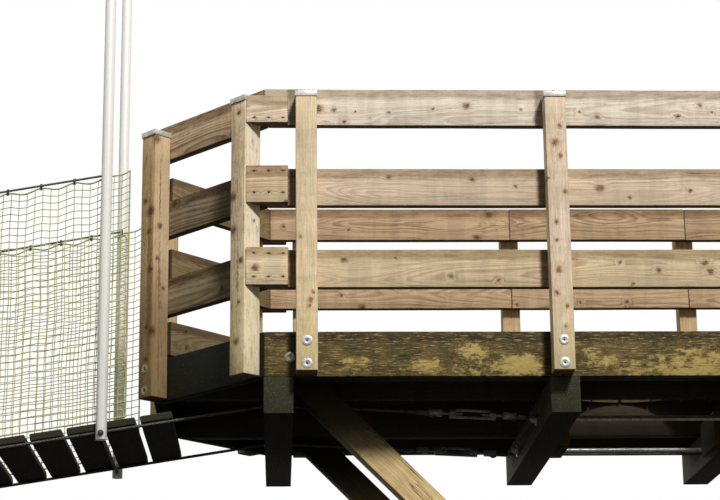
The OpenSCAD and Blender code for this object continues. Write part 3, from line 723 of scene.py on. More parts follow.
# %% Knots, patches and stains that show
RAIL_KNOTS = (
    (-1.427, 2.333, 0.009), (-1.383, 2.277, 0.009), (-1.333, 2.324, 0.005), (-1.268, 2.296, 0.004),
    (-1.184, 2.322, 0.006), (-0.989, 2.339, 0.006), (-0.843, 2.353, 0.014), (-0.600, 2.339, 0.006),
    (-0.343, 2.326, 0.007), (0.197, 2.360, 0.009), (0.248, 2.327, 0.006), (-1.189, 2.023, 0.011),
    (-0.824, 2.010, 0.011), (-0.638, 1.982, 0.007), (-0.266, 1.973, 0.016), (-0.136, 1.930, 0.007),
    (0.130, 1.962, 0.008), (-1.389, 1.647, 0.012), (-1.164, 1.656, 0.006), (-0.928, 1.575, 0.009),
    (-0.722, 1.557, 0.008), (-0.193, 1.637, 0.006), (-0.025, 1.601, 0.009), (0.177, 1.632, 0.012))
POST_KNOTS = (
    (-0.446, 2.230, 0.010), (-0.468, 2.151, 0.014), (-0.447, 2.089, 0.009), (-0.505, 1.987, 0.007),
    (-0.433, 1.928, 0.010), (-0.475, 1.792, 0.009), (-0.478, 1.709, 0.008), (-0.473, 1.578, 0.013),
    (-0.485, 1.476, 0.011), (-0.443, 1.417, 0.008), (-0.452, 1.329, 0.007), (-1.533, 1.445, 0.011),
    (-1.522, 1.480, 0.007), (-1.541, 1.419, 0.008), (-1.576, 1.728, 0.006))
CORNER_POST_KNOTS = (
    (-2.274, 2.054, 0.010), (-2.248, 2.001, 0.017), (-2.257, 1.906, 0.009), (-2.248, 1.727, 0.010),
    (-2.258, 1.461, 0.009), (-2.225, 2.343, 0.015), (-2.207, 1.932, 0.011), (-2.189, 1.644, 0.008),
    (-2.234, 1.438, 0.016), (-2.258, 1.313, 0.010), (-2.216, 1.778, 0.007), (-1.867, 1.935, 0.015),
    (-1.865, 1.785, 0.013), (-1.832, 1.638, 0.010), (-1.850, 1.286, 0.012), (-1.842, 2.314, 0.008),
    (-1.775, 1.821, 0.006), (-1.840, 1.457, 0.007))
LICHEN_PATCHES = (
    (0.087, 1.193, 0.170), (-0.129, 1.167, 0.070), (-0.278, 1.202, 0.060), (-0.643, 1.186, 0.060),
    (-1.048, 1.178, 0.050), (-0.855, 1.248, 0.050), (-0.341, 1.238, 0.040), (-1.346, 1.197, 0.050))
POST_STAINS = (
    (-2.207, 2.090, 0.0045), (-2.207, 1.710, 0.0055), (-2.250, 1.700, 0.015), (-2.205, 1.330, 0.0040),
    (-1.846, 1.560, 0.0050))
print("knots with known places:", len(RAIL_KNOTS + POST_KNOTS + CORNER_POST_KNOTS))

# %% Timber finishes
# Painted shadow: a dark strip on the rails and the fascia just left of each front post, where its shadow
# falls.
post_shadow_strips = [(corners[:, 0].min() - 0.010, 0.0, 0.024) for corners in solids_of("posts_front")]
fascia_post_shadows = [(x, z, 0.030) for x, z, radius in post_shadow_strips]
# Painted shadow: shady_end darkens the right end of the corner rails, where the post beside them casts its
# shadow.
shady_end = (min(corners[:, 0].max() for corners in solids_of("splice_blocks_front")) - 0.24, 1.79, 0.11)
# Dirt and painted shade: the foot of the post beside the bridge is darkened.
bridge_post = min(solids_of("posts_front_left"), key=lambda corners: corners[:, 0].min())
dirty_and_shaded_foot = (bridge_post[:, 0].mean(), bridge_post[:, 2].min(), 0.13)

RAIL = dict(early=rgb(242, 230, 214), late=rgb(182, 156, 130), rings=0.0065, figure=0.80, cracks=0.34,
            band=0.60, dirt=0.36, film_foot=0.10, film_colour=rgb(186, 168, 116), streaks=(0.88, 1.08),
            specks=0.2, grey=0.3, knot_colour=rgb(98, 70, 48), painted_underside_shade=0.13)
POST = dict(early=rgb(230, 213, 182), late=rgb(200, 172, 132), rings=0.009, figure=0.7, cracks=0.24,
            dirt=0.30, film_foot=0.34, grey=0.2, film_colour=rgb(200, 188, 128), knot_colour=rgb(112, 66, 44),
            specks=0.2)
rail_timber = timber("weathered_rail", **RAIL | dict(late=rgb(160, 130, 100), knots=0.6, figure=1.0))
front_rail = timber("marked_rail", knots=0.25, marks=RAIL_KNOTS, painted_shade=post_shadow_strips, **RAIL)
corner_rail = timber("shaded_rail", **RAIL | dict(
    late=rgb(124, 88, 56), knots=0.5, painted_shade=[shady_end], painted_shade_stretch=(1.0, 0.0, 0.35), rings=0.011,
    figure=1.0, streaks=(0.78, 1.16), dirt=0.55, specks=0.4))
post_timber = timber("bleached_post", knots=0.7, knot_gap=0.2, knot_size=0.8, **POST)
front_post = timber("marked_post", knots=0.6, marks=POST_KNOTS, mark_stretch=(1.0, 0.0, 0.8), **POST)
corner_post = timber("marked_corner_post", **POST | dict(
    knots=0.3, marks=CORNER_POST_KNOTS, mark_stretch=(1.0, 0.0, 0.7), stains=POST_STAINS, painted_light_right=0.5,
    painted_shade=[dirty_and_shaded_foot], painted_shade_stretch=(1.0, 0.0, 0.2), painted_shade_share=0.62, cracks=0.30, dirt=0.75,
    streaks=(0.74, 1.18), knot_colour=rgb(60, 36, 24), specks=0.5))
fascia_timber = timber(
    "mossy_fascia", rgb(122, 102, 58), rgb(76, 60, 32), figure=0.8, knots=0.3, cracks=0.50, band=0.75,
    dirt=0.90, film=0.36, film_colour=rgb(62, 60, 30), frayed=0.55, dots=0.25, painted_shade=fascia_post_shadows,
    painted_shade_share=0.75, lichen=0.20, lichen_colour=rgb(206, 180, 108), patches=LICHEN_PATCHES,
    streaks=(0.62, 1.26), grey=0.1, drips=0.45, specks=0.9, painted_underside_shade=0.15)
bearer_timber = timber(
    "damp_bearer", rgb(74, 68, 48), rgb(48, 42, 30), figure=0.5, knots=0.3, film=0.42,
    film_colour=rgb(62, 66, 42), end_colour=rgb(59, 61, 41), lichen=0.22, lichen_colour=rgb(96, 100, 78),
    dirt=0.5, painted_underside_shade=0.15, dots=0.65)
# Painted shade: the braces are darkened almost to black high up, under the deck.
brace_timber = timber(
    "brace_shaded_at_top", rgb(214, 192, 142), rgb(166, 138, 94), rings=0.008, knots=0.4, cracks=0.4, grey=0.1,
    painted_underside_shade=0.28, painted_shade=[(0.0, 1.25, 0.42)], painted_shade_stretch=(0.0, 0.0, 1.0), painted_shade_share=0.96,
    painted_shade_tone=(0.055, 0.055, 0.05))
joist_timber = timber("damp_joist", rgb(70, 62, 46), rgb(46, 40, 28), figure=0.5, knots=0.3, painted_underside_shade=0.25)
deck_timber = timber("trodden_deck", rgb(150, 136, 112), rgb(112, 96, 74), knots=0.4, cracks=0.5, grey=0.6,
                     dirt=0.5, painted_underside_shade=0.10)
plank_timber = timber("trodden_plank", rgb(80, 74, 54), rgb(54, 48, 34), knots=0.4, cracks=0.5, film=0.25,
                      film_colour=rgb(66, 68, 42), dirt=0.5, painted_underside_shade=0.10)
print("timber finishes:", len(bpy.data.materials) - 1)

# %% [markdown]
# ## Rails, fascia and blocks
# The rail boards run level round the platform, so their direction follows from the face they show outwards:
# a quarter turn of it. The three rows have weathered differently: the top row is bleached and the lower ones
# are browner. The boards on the cut corners, which the sun seldom reaches, are toned darker still as painted
# shade.

# %% Directions and rows
CORNER_ANGLE = math.atan2(0.540, 0.495)
TOP_ROW = 1.016
ROW_PITCH = 0.368
deck_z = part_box("deck_left")[1].z
middle_y = (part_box("rails_front")[0].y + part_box("rails_back")[1].y) / 2


def level_along(out):
    return np.array([-out[1], out[0], 0.0])


def face_out(side_x, side_y):
    """The level direction a side faces: -1, 0 or 1 to the right, and to the back. Corners lie between."""
    if side_x and side_y:
        return np.array([side_x * math.sin(CORNER_ANGLE), side_y * math.cos(CORNER_ANGLE), 0.0])
    return np.array([side_x, side_y, 0.0], float)


def row_of(height):
    """The row that a height belongs to: 0 for the top row of rails, then 1 and 2."""
    return int(np.clip(round((TOP_ROW - (height - deck_z)) / ROW_PITCH), 0, 2))


def even_tone(red, green, blue, spread=0.08):
    return lambda centre, rng: np.array([red, green, blue]) * rng.uniform(1 - spread, 1 + spread)


def row_tones(*tones):
    return lambda centre, rng: even_tone(*tones[row_of(centre[2])], 0.05)(centre, rng)


print("rows over the deck:", [round(TOP_ROW - row * ROW_PITCH, 3) for row in range(3)])

# %% Nailed blocks
NAIL_ROWS = ((-0.064,), (0.060, -0.038), (0.056, -0.048))
NAIL_COLUMNS = (0.022, 0.084, 0.147)
NAIL_STAIN = 0.0042


def nail_spots(node, out):
    """The places of the nails on the outer faces of the splice blocks of one side."""
    spots = []
    for corners in solids_of(node):
        low, high = corners.min(axis=0), corners.max(axis=0)
        row = row_of((low[2] + high[2]) / 2)
        row_z = deck_z + TOP_ROW - row * ROW_PITCH
        face_y = (corners @ out).max() * out[1]
        inner_end = min(abs(low[0]), abs(high[0]))
        spots += [np.array([math.copysign(inner_end + column, low[0]), face_y, row_z + height])
                  for height in NAIL_ROWS[row] for column in NAIL_COLUMNS]
    return spots


nail_marks = [(spot[0], spot[2], NAIL_STAIN) for spot in nail_spots("splice_blocks_front", FRONTWARDS)]
block_timber = timber("nailed_block", **RAIL | dict(
    knots=0.35, marks=nail_marks, mark_stretch=(0.45, 0.0, 1.0), figure=1.0, knot_colour=rgb(84, 48, 32)))
print("nails on the front:", len(nail_marks))

# %% Level boards
FRONT_TONES = row_tones((1.05, 1.05, 1.05), (0.87, 0.80, 0.71), (0.79, 0.72, 0.56))
BLOCK_TONES = row_tones((1.0, 0.93, 0.85), (0.85, 0.76, 0.60), (0.96, 0.90, 0.71))
# Painted shade: the boards of both cut corners on the left are toned darker for the shade that falls on them.
CORNER_PAINTED_SHADE_TONES = row_tones((0.88, 0.74, 0.57), (0.42, 0.37, 0.28), (0.46, 0.43, 0.30))
BACK_TONES = row_tones((0.65, 0.53, 0.40), (0.65, 0.53, 0.40), (0.61, 0.51, 0.37))
FAR_CORNER_PAINTED_SHADE_TONES = row_tones((0.32, 0.27, 0.17), (0.25, 0.21, 0.13), (0.22, 0.19, 0.12))
PLAIN_TONE = even_tone(1.0, 1.0, 1.0, 0.10)
# Dirt and painted shade: the left fascia and its corner boards are toned nearly black.
DIRT_AND_SHADE_TONE = even_tone(0.045, 0.065, 0.05, 0.05)

for node, sides, material, tones in (
        ("rails_front", (0, -1), front_rail, FRONT_TONES), ("rails_back", (0, 1), rail_timber, BACK_TONES),
        ("rails_front_left", (-1, -1), corner_rail, CORNER_PAINTED_SHADE_TONES),
        ("rails_back_left", (-1, 1), rail_timber, FAR_CORNER_PAINTED_SHADE_TONES),
        ("rails_front_right", (1, -1), rail_timber, FRONT_TONES),
        ("rails_back_right", (1, 1), rail_timber, BACK_TONES),
        ("splice_blocks_front", (0, -1), block_timber, BLOCK_TONES),
        ("splice_blocks_back", (0, 1), block_timber, BACK_TONES)):
    out = face_out(*sides)
    timber_piece(node, level_along(out), out, material, "rail_timber", tones)

for node, sides, tones in (("fascia_front", (0, -1), PLAIN_TONE), ("fascia_back", (0, 1), PLAIN_TONE),
                           ("fascia_left", (-1, 0), DIRT_AND_SHADE_TONE), ("fascia_right", (1, 0), PLAIN_TONE)):
    out = face_out(*sides)
    timber_piece(node, level_along(out), out, fascia_timber, "fascia_timber", tones)

for node, side, tones in (("fascia_corners_left", -1, DIRT_AND_SHADE_TONE), ("fascia_corners_right", 1, PLAIN_TONE)):
    def corner_out(centre):
        return face_out(side, math.copysign(1, centre[1] - middle_y))
    timber_piece(node, lambda centre: level_along(corner_out(centre)), corner_out,
                 fascia_timber, "fascia_timber", tones)

# %% [markdown]
# ## Posts
# The posts stand upright, so the grain runs up them. Each has its own tone: the one beside the bridge is
# brown and knotty, and the two in front of the long side are the palest.

# %% Posts
POST_SIDES = {"posts_front": (0, -1), "posts_back": (0, 1), "posts_front_left": (-1, -1),
              "posts_back_left": (-1, 1), "posts_front_right": (1, -1), "posts_back_right": (1, 1)}
POST_TONES = {"posts_front": (1.0, 0.97, 0.93), "posts_front_right": (0.95, 0.90, 0.84)}
BACK_POST_TONE = (0.72, 0.64, 0.54)
BRIDGE_POST_TONE = (0.79, 0.66, 0.51, 1.5)
NEXT_POST_TONE = (1.14, 1.10, 1.04, 0.3)
PINKER = (1.0, 1.0, 1.12)
POST_ROUNDING = 0.005
GATEWAY_X = 2.0


def post_tone(node):
    """The fourth number says how many chance knots a post has: the two with marked knots have none."""
    def tone(centre, rng):
        if node == "posts_front_left":
            return BRIDGE_POST_TONE if centre[0] < -GATEWAY_X else NEXT_POST_TONE
        front = node == "posts_front"
        pink = PINKER if front and centre[0] > -1.0 else (1.0, 1.0, 1.0)
        shade = np.array(POST_TONES.get(node, BACK_POST_TONE)) * pink * rng.uniform(0.97, 1.03)
        return np.append(shade, 0.0 if front and centre[0] < 0 else 1.0)
    return tone


for node, sides in POST_SIDES.items():
    material = {"posts_front": front_post, "posts_front_left": corner_post}.get(node, post_timber)
    timber_piece(node, UP, face_out(*sides), material, "post_timber", post_tone(node), POST_ROUNDING)

# %% [markdown]
# ## Heavy timbers, joists and deck
# Bearers, braces and clamp beams are bored for cables and rods, and deck boards are cut to odd shapes. For
# these it is easiest to take a copy of the CAD mesh, merge its loose triangles into whole faces, and bevel
# the sharp edges. The copy then gets the same grain attributes, one board at a time.

# %% Worked copies
SHARP = math.radians(30)
FLAT = math.radians(1)
MERGE = 0.00001
WORKED_ARRIS = 0.003


def mesh_arrays(work):
    """The points and faces of a bmesh, which is freed."""
    work.verts.index_update()
    points = np.array([corner.co[:] for corner in work.verts])
    faces = [[corner.index for corner in face.verts] for face in work.faces]
    work.free()
    return points, faces


def bevelled_copy(node, width):
    """Points and faces of a CAD node with its triangles merged and its sharp edges rounded."""
    work = bmesh.new()
    work.from_mesh(nodes[node].data)
    bmesh.ops.remove_doubles(work, verts=work.verts, dist=MERGE)
    bmesh.ops.dissolve_limit(work, angle_limit=FLAT, verts=work.verts, edges=work.edges)
    sharp = [edge for edge in work.edges if len(edge.link_faces) == 2 and edge.calc_face_angle(0) > SHARP]
    bmesh.ops.bevel(work, geom=sharp, offset=width, segments=2, profile=0.5, affect="EDGES",
                    clamp_overlap=True)
    return mesh_arrays(work)


print("faces of the left deck:", len(bevelled_copy("deck_left", WORKED_ARRIS)[1]))

# %% Worked timber
END_FACING = 0.6


def worked_timber(node, along, outwards, material, slot, tone):
    """A bevelled copy of a timber node, with grain attributes for each of its boards."""
    rng = np.random.default_rng(sum(map(ord, node)))
    points, faces = bevelled_copy(node, WORKED_ARRIS)
    sides = np.array([(face[k - 1], face[k]) for face in faces for k in range(len(face))])
    label = islands(sides, len(points))
    inside, run_of = np.zeros((2, len(points), 3))
    shade, seed = np.ones((len(points), 4)), np.zeros(len(points))
    for number in np.unique(label):
        own = label == number
        centre = points[own].mean(axis=0)
        run, out = at(along, centre), at(outwards, centre)
        s, t, q = points[own] @ run, points[own] @ np.cross(out, run), points[own] @ out
        inside[own] = np.stack([s - (s.min() + s.max()) / 2, t - t.max(), q.max() - q], axis=-1)
        shade[own] = shade_of(tone, centre, rng)
        seed[own] = rng.uniform(0, SEED_SPAN)
        run_of[own] = run
    finished = piece(node + "_timber", points, faces, material, slot, [node],
                     grain=inside, board=seed, tone=shade)
    normals = np.empty(len(faces) * 3)
    finished.data.polygons.foreach_get("normal", normals)
    first = np.array([face[0] for face in faces])
    on_end = np.abs((normals.reshape(-1, 3) * run_of[first]).sum(axis=1)) > END_FACING
    end_cut = finished.data.attributes.new("end_cut", "FLOAT", "FACE")
    end_cut.data.foreach_set("value", on_end.astype(np.float32))


def brace_run(centre):
    """A knee brace leans outwards at 45 degrees as it rises."""
    return np.array([math.copysign(1, centre[0]), 0, 1]) / math.sqrt(2)


print("a brace on the right runs along", brace_run(ACROSS).round(3))

# %% Heavy timbers, joists and deck
BEARERS = ["bearer_left_outer", "bearer_left_inner", "bearer_right_inner", "bearer_right_outer"]
JOISTS = ["joists", "rim_joists"]
DECKS = ["deck_left", "deck_middle", "deck_right"]
for group, along, out, material, slot, tone in (
        (BEARERS, BACKWARDS, -ACROSS, bearer_timber, "bearer_timber", even_tone(0.6, 0.6, 0.6)),
        (["braces_front"], brace_run, FRONTWARDS, brace_timber, "brace_timber", even_tone(1.0, 0.97, 0.92)),
        (["braces_back"], brace_run, BACKWARDS, brace_timber, "brace_timber", even_tone(0.36, 0.36, 0.34)),
        (["clamp_beam_front"], ACROSS, FRONTWARDS, brace_timber, "brace_timber", even_tone(0.60, 0.57, 0.52)),
        (["clamp_beam_back"], ACROSS, BACKWARDS, brace_timber, "brace_timber", even_tone(0.60, 0.57, 0.52)),
        (["trunk_blocks"], BACKWARDS, -UP, brace_timber, "brace_timber", even_tone(0.42, 0.38, 0.33)),
        (JOISTS, ACROSS, FRONTWARDS, joist_timber, "joist_timber", even_tone(0.8, 0.8, 0.8)),
        (DECKS, BACKWARDS, UP, deck_timber, "deck_board", even_tone(1.0, 0.98, 0.95, 0.14))):
    for node in group:
        worked_timber(node, along, out, material, slot, tone)

# %% [markdown]
# ## Bridge planks
# The planks lie across the two cables and follow their slope. They are walked on and never dry out, so
# their arrises are worn rounder than those of the rails, and their colour is a dull olive brown.

# %% Planks
BRIDGE_SLOPE = math.radians(8.9)
PLANK_ROUNDING = 0.007
plank_top = np.array([-math.sin(BRIDGE_SLOPE), 0, math.cos(BRIDGE_SLOPE)])
timber_piece("bridge_planks", BACKWARDS, plank_top, plank_timber, "plank_timber",
             even_tone(1.0, 0.98, 0.94, 0.12), PLANK_ROUNDING)

# %% [markdown]
# ## Metal, plastic and rope finishes
# Hot-dip galvanising freezes into a patchwork of grey crystals, so its recipe is a soft cell pattern in
# colour and roughness. The cable is the same zinc drawn into thin wires, dulled by grease and weather, and
# darker still as painted shade, like the turnbuckles, because both hang under the deck. The
# hangers wear smooth white sleeves with a film of green dirt, and the net is a pale cord gone yellow-green.
# Light enters the white plastic and spreads a few centimetres, which keeps the sleeves' shaded side bright.

# %% Other finishes
SLEEVE_LIGHT = {"Subsurface Weight": 0.5, "Subsurface Radius": (0.04, 0.04, 0.04), "Subsurface Scale": 1.0}


def zinc(name, bright, dull, roughness, cell_size, metallic):
    """Galvanised steel: crystals of cell_size metres, with grime in patches."""
    material, recipe, shader = new_material(name, roughness, metallic)
    place = recipe.object_place()
    cell = recipe.add("ShaderNodeTexVoronoi", {"Vector": place, "Scale": 1 / cell_size}).outputs["Color"]
    crystal = recipe.split(cell)[0]
    grime = recipe.step(recipe.noise(place, (30, 30, 30), 4.0, 0.65), 0.40, 0.75)
    colour = recipe.coats(recipe.mix(crystal, bright, dull), (grime, 0.5, darker(dull, 0.35)))
    worn = recipe.step(recipe.times(crystal, 0.3, grime), 0.0, 1.3, roughness - 0.08, roughness + 0.2)
    put_surface(recipe, shader, colour, worn, recipe.noise(place, (400, 400, 400), 2.0), 0.25, 0.0006)
    return material


def soft_finish(name, clean, soiled, roughness, patch, strength, scale):
    """Plastic or cord: a clean colour with soiled patches, and a fine grain in its relief."""
    material, recipe, shader = new_material(name, roughness)
    place = recipe.object_place()
    dirt = recipe.noise(place, (scale, scale, scale * 0.35), 5.0, 0.65)
    dirt = recipe.step(dirt, patch, patch + 0.28, 0.0, strength)
    speck = recipe.noise(place, (260, 260, 260), 2.0)
    colour = recipe.tint(recipe.mix(dirt, clean, soiled), recipe.step(speck, 0.2, 0.8, 0.92, 1.06))
    worn = recipe.step(dirt, 0.0, 1.0, roughness, roughness + 0.25)
    put_surface(recipe, shader, colour, worn, speck, 0.3, 0.0004)
    return material


cap_zinc = zinc("galvanised_sheet", rgb(222, 220, 212), rgb(186, 188, 184), 0.42, 0.012, 0.35)
bolt_zinc = zinc("galvanised_fittings", rgb(206, 208, 204), rgb(158, 162, 160), 0.45, 0.006, 0.55)
shaded_steel = zinc("shaded_fittings", rgb(60, 62, 54), rgb(36, 38, 32), 0.6, 0.006, 0.2)
green_zinc = zinc("soiled_fittings", rgb(158, 164, 134), rgb(96, 104, 78), 0.5, 0.006, 0.3)
# Painted shade: the turnbuckles hang under the deck, so their zinc is darkened.
shade_darkened_zinc = zinc("shade_darkened_fittings", rgb(128, 132, 124), rgb(88, 92, 86), 0.5, 0.006, 0.35)
# Weathering and painted shade: the cable's zinc is dark.
weathered_and_shaded_cable = zinc("weathered_and_shaded_strand", rgb(84, 86, 80), rgb(54, 56, 52), 0.55, 0.004, 0.4)
# Rust on the nail heads; the same dark finish is painted shade in the bolts' sockets.
rust_and_socket_shade = soft_finish("rusty_heads_and_socket_shade", rgb(74, 52, 38), rgb(48, 34, 26), 0.7, 0.4, 0.8, 120.0)
gap_dirt = soft_finish("gap_dirt", rgb(50, 44, 32), rgb(34, 30, 22), 0.95, 0.4, 0.8, 40.0)
white_sleeve = soft_finish("white_sleeve", rgb(236, 238, 236), rgb(196, 202, 178), 0.45, 0.52, 0.45, 7.0)
for label, value in SLEEVE_LIGHT.items():
    white_sleeve.node_tree.nodes["Principled BSDF"].inputs[label].default_value = value
lacing_cord = soft_finish("dark_lacing", rgb(92, 96, 84), rgb(58, 60, 48), 0.8, 0.4, 0.6, 40.0)
net_cord = soft_finish("net_cord", rgb(196, 196, 132), rgb(128, 138, 74), 0.85, 0.42, 0.7, 12.0)
edge_rope = soft_finish("edge_rope", rgb(186, 186, 136), rgb(122, 128, 80), 0.85, 0.42, 0.7, 20.0)
print("materials so far:", len(bpy.data.materials))

# %% [markdown]
# ## Post caps and fittings
# Each post wears a cap of folded zinc sheet that keeps rain out of the end grain. The CAD caps have the right
# folds, so they are copied, and their edges are rounded by about a millimetre to catch the light. The
# turnbuckles, rods and stirrup are copied in the same way.

# %% Caps and fittings kept from the frame
for node, material, width in (("post_caps", cap_zinc, 0.0008), ("turnbuckles", shade_darkened_zinc, 0.0012),
                              ("clamp_rods", bolt_zinc, 0.0012), ("bridge_stirrup", shaded_steel, 0.0010)):
    piece(node + "_finished", *bevelled_copy(node, width), material, "galvanised", [node])

# %% [markdown]
# ## Dirt in the gaps of the deck
# Deck boards lie a few millimetres apart, and over the years dirt fills those gaps. Two boards are neighbours
# where the space between their boxes is narrow and they share some length. A low strip goes into each gap.

# %% Gap dirt
WIDEST_GAP = 0.015
SHORTEST_SHARE = 0.05
DIRT_FALL = 0.008
DIRT_DEPTH = 0.010
BOX_FACES = [[0, 2, 3, 1], [4, 5, 7, 6], [0, 1, 5, 4], [2, 6, 7, 3], [0, 4, 6, 2], [1, 3, 7, 5]]

boards = [corners for node in DECKS for corners in solids_of(node)]
low = np.array([corners.min(axis=0) for corners in boards])
high = np.array([corners.max(axis=0) for corners in boards])
space = low[None, :, 0] - high[:, None, 0]
start = np.maximum(low[:, None, 1], low[None, :, 1])
end = np.minimum(high[:, None, 1], high[None, :, 1])
left, right = np.nonzero((space > 0) & (space < WIDEST_GAP) & (end - start > SHORTEST_SHARE))
strip_low = np.stack([high[left, 0], start[left, right], high[left, 2] - DIRT_FALL - DIRT_DEPTH], axis=-1)
strip_high = np.stack([low[right, 0], end[left, right], high[left, 2] - DIRT_FALL], axis=-1)
pick = np.array([[i, j, k] for k in (0, 1) for j in (0, 1) for i in (0, 1)], bool)
strips = np.where(pick, strip_high[:, None], strip_low[:, None])
joined("gap_dirt", [(strip, BOX_FACES) for strip in strips], gap_dirt, "deck_board")
print("gaps filled:", len(strips))

# %% [markdown]
# ## Bolts and nails
# Two bolts hold each post to the fascia, apart from the inner post of each cut corner. A bolt shows a dished
# washer with a round head in it, so its outline is one profile of radius and height, spun round the bolt's
# axis. The short splice blocks are nailed, three nails to a row, and each nail head sits in a spot of rust.

# %% Turned shapes
BOLT_STEPS = 32
BOLT_PROFILE = np.array([
    (0.0225, -0.0010), (0.0225, 0.0008), (0.0200, 0.0018), (0.0160, 0.0025), (0.0120, 0.0027),
    (0.0095, 0.0026), (0.0085, 0.0018), (0.0078, 0.0006), (0.0060, 0.0004), (0.0006, 0.0003)])
SOCKET_SHADE_PROFILE = np.array([(0.0052, 0.0004), (0.0050, 0.0011), (0.0004, 0.0010)])
NAIL_STEPS = 12
NAIL_PROFILE = np.array([(0.0038, 0.0000), (0.0038, 0.0009), (0.0030, 0.0013), (0.0006, 0.0014)])


def lathe(profile, steps, centre, axis):
    """A profile of radius and height spun round the axis that starts at centre. Faces look outwards."""
    guide = UP if abs(axis[2]) < 0.9 else ACROSS
    side = np.cross(guide, axis)
    side = side / np.linalg.norm(side)
    top = np.cross(axis, side)
    around = np.linspace(0, 2 * math.pi, steps, endpoint=False)
    ring = np.cos(around)[:, None] * side + np.sin(around)[:, None] * top
    points = centre + profile[:, :1, None] * ring + profile[:, 1:, None] * axis
    return points.reshape(-1, 3), tube_faces(len(profile), steps)


def turned(name, profile, steps, spots, material):
    """The same turned shape at each spot: a place and the direction in which it faces."""
    joined(name, [lathe(profile, steps, place, out) for place, out in spots], material, "galvanised")


print("points of one bolt:", len(lathe(BOLT_PROFILE, BOLT_STEPS, UP, UP)[0]))

# %% Bolts and nails
BOLT_DEPTHS = (0.060, 0.158)
FASCIA_BOLT_X = 1.622
FASCIA_BOLT_DEPTH = 0.111
SAME_FACE = 0.001


def post_spots(node, out):
    """Where the bolts of each post in a node go, on the middle of its outer face."""
    spots = []
    for corners in solids_of(node):
        middle = corners[corners @ out > (corners @ out).max() - SAME_FACE].mean(axis=0)
        spots += [(np.array([middle[0], middle[1], deck_z]) - depth * UP, out) for depth in BOLT_DEPTHS]
    return spots


bolt_spots = [spot for node, sides in POST_SIDES.items() for spot in post_spots(node, face_out(*sides))
              if not sides[0] or abs(spot[0][0]) > GATEWAY_X]
soiled = [place[0] < -GATEWAY_X and out[1] < 0 for place, out in bolt_spots]
turned("post_bolts", BOLT_PROFILE, BOLT_STEPS,
       [spot for spot, is_soiled in zip(bolt_spots, soiled) if not is_soiled], bolt_zinc)
turned("bridge_post_bolts", BOLT_PROFILE, BOLT_STEPS,
       [spot for spot, is_soiled in zip(bolt_spots, soiled) if is_soiled], green_zinc)
# Painted shade: a thin dark disc in each bolt head stands for the shade in its socket.
turned("bolt_socket_shade", SOCKET_SHADE_PROFILE, NAIL_STEPS, bolt_spots, rust_and_socket_shade)
turned("bearer_bolts", BOLT_PROFILE, BOLT_STEPS,
       [(np.array([x, face_y, deck_z - FASCIA_BOLT_DEPTH]), out)
        for face_y, out in ((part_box("fascia_front")[0].y, FRONTWARDS),
                            (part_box("fascia_back")[1].y, BACKWARDS))
        for x in (-FASCIA_BOLT_X, FASCIA_BOLT_X)], green_zinc)
turned("block_nails", NAIL_PROFILE, NAIL_STEPS,
       [(spot, out) for node, out in (("splice_blocks_front", FRONTWARDS), ("splice_blocks_back", BACKWARDS))
        for spot in nail_spots(node, out)], rust_and_socket_shade)

# %% [markdown]
# ## Cables and ropes laid from strands
# A wire cable is six strands laid round a core, so its outline is a flower with six petals that turns as it
# goes along. The formula: radius = size * (1 - depth * (1 - |cos(strands * angle / 2)|)), and the flower
# turns once in each lay length. The same formula with three petals makes the ropes of the nets. Each cable
# runs from an eye on the bridge through steel sleeves in the bearers, and a turnbuckle keeps it taut.

# %% Bars and laid ropes
STRAND_DEPTH = 0.20
CABLE_SIZE = 0.0072
CABLE_LAY = 0.088
CABLE_STEP = 0.0045


def rod(radius, length, bevel, steps, centre, axis):
    """A round bar with its two edges taken off."""
    profile = np.array([(radius - bevel, 0), (radius, bevel),
                        (radius, length - bevel), (radius - bevel, length)])
    return lathe(profile, steps, centre, axis)


def laid_rope(path, size, strands, lay, step, guide=BACKWARDS):
    """A rope along a path that nowhere runs along guide. Its petals turn once in each lay length."""
    path = np.asarray(path, float)
    run = np.concatenate([[0], np.cumsum(np.linalg.norm(np.diff(path, axis=0), axis=1))])
    stations = np.linspace(0, run[-1], max(3, round(run[-1] / step)))
    line = np.stack([np.interp(stations, run, path[:, axis]) for axis in range(3)], axis=-1)
    ahead = np.gradient(line, axis=0)
    ahead /= np.linalg.norm(ahead, axis=1)[:, None]
    side = np.cross(guide, ahead)
    side /= np.linalg.norm(side, axis=1)[:, None]
    top = np.cross(ahead, side)
    angle = np.linspace(0, 2 * math.pi, 4 * strands, endpoint=False)
    radius = size * (1 - STRAND_DEPTH * (1 - np.abs(np.cos(strands * angle / 2))))
    twisted = (angle + 2 * math.pi * stations[:, None] / lay)[..., None]
    flower = np.cos(twisted) * side[:, None] + np.sin(twisted) * top[:, None]
    points = line[:, None] + radius[:, None] * flower
    return points.reshape(-1, 3), tube_faces(len(stations), len(angle))


def cable(start, end):
    return laid_rope([start, end], CABLE_SIZE, 6, CABLE_LAY, CABLE_STEP)


print("points of a metre of cable:", len(cable(0 * ACROSS, ACROSS)[0]))

# %% Cable eyes
EYE_RADIUS = 0.0154
EYE_STEPS = 40
FERRULE_RADIUS = 0.013
FERRULE_LENGTH = 0.055


def eye(centre, towards):
    """A loop of cable round centre, and the pressed ferrule that closes it on the side given by towards."""
    angle = np.linspace(0, 2 * math.pi, EYE_STEPS)
    circle = centre + EYE_RADIUS * (np.cos(angle)[:, None] * towards + np.sin(angle)[:, None]
                                    * np.cross(BACKWARDS, towards))
    loop = laid_rope(circle, CABLE_SIZE, 6, CABLE_LAY, CABLE_STEP / 2)
    ferrule = rod(FERRULE_RADIUS, FERRULE_LENGTH, 0.003, 24, centre + EYE_RADIUS * towards, towards)
    return [loop, ferrule]


print("size of an eye's loop:", np.ptp(eye(0 * ACROSS, ACROSS)[0][0], axis=0).round(4))

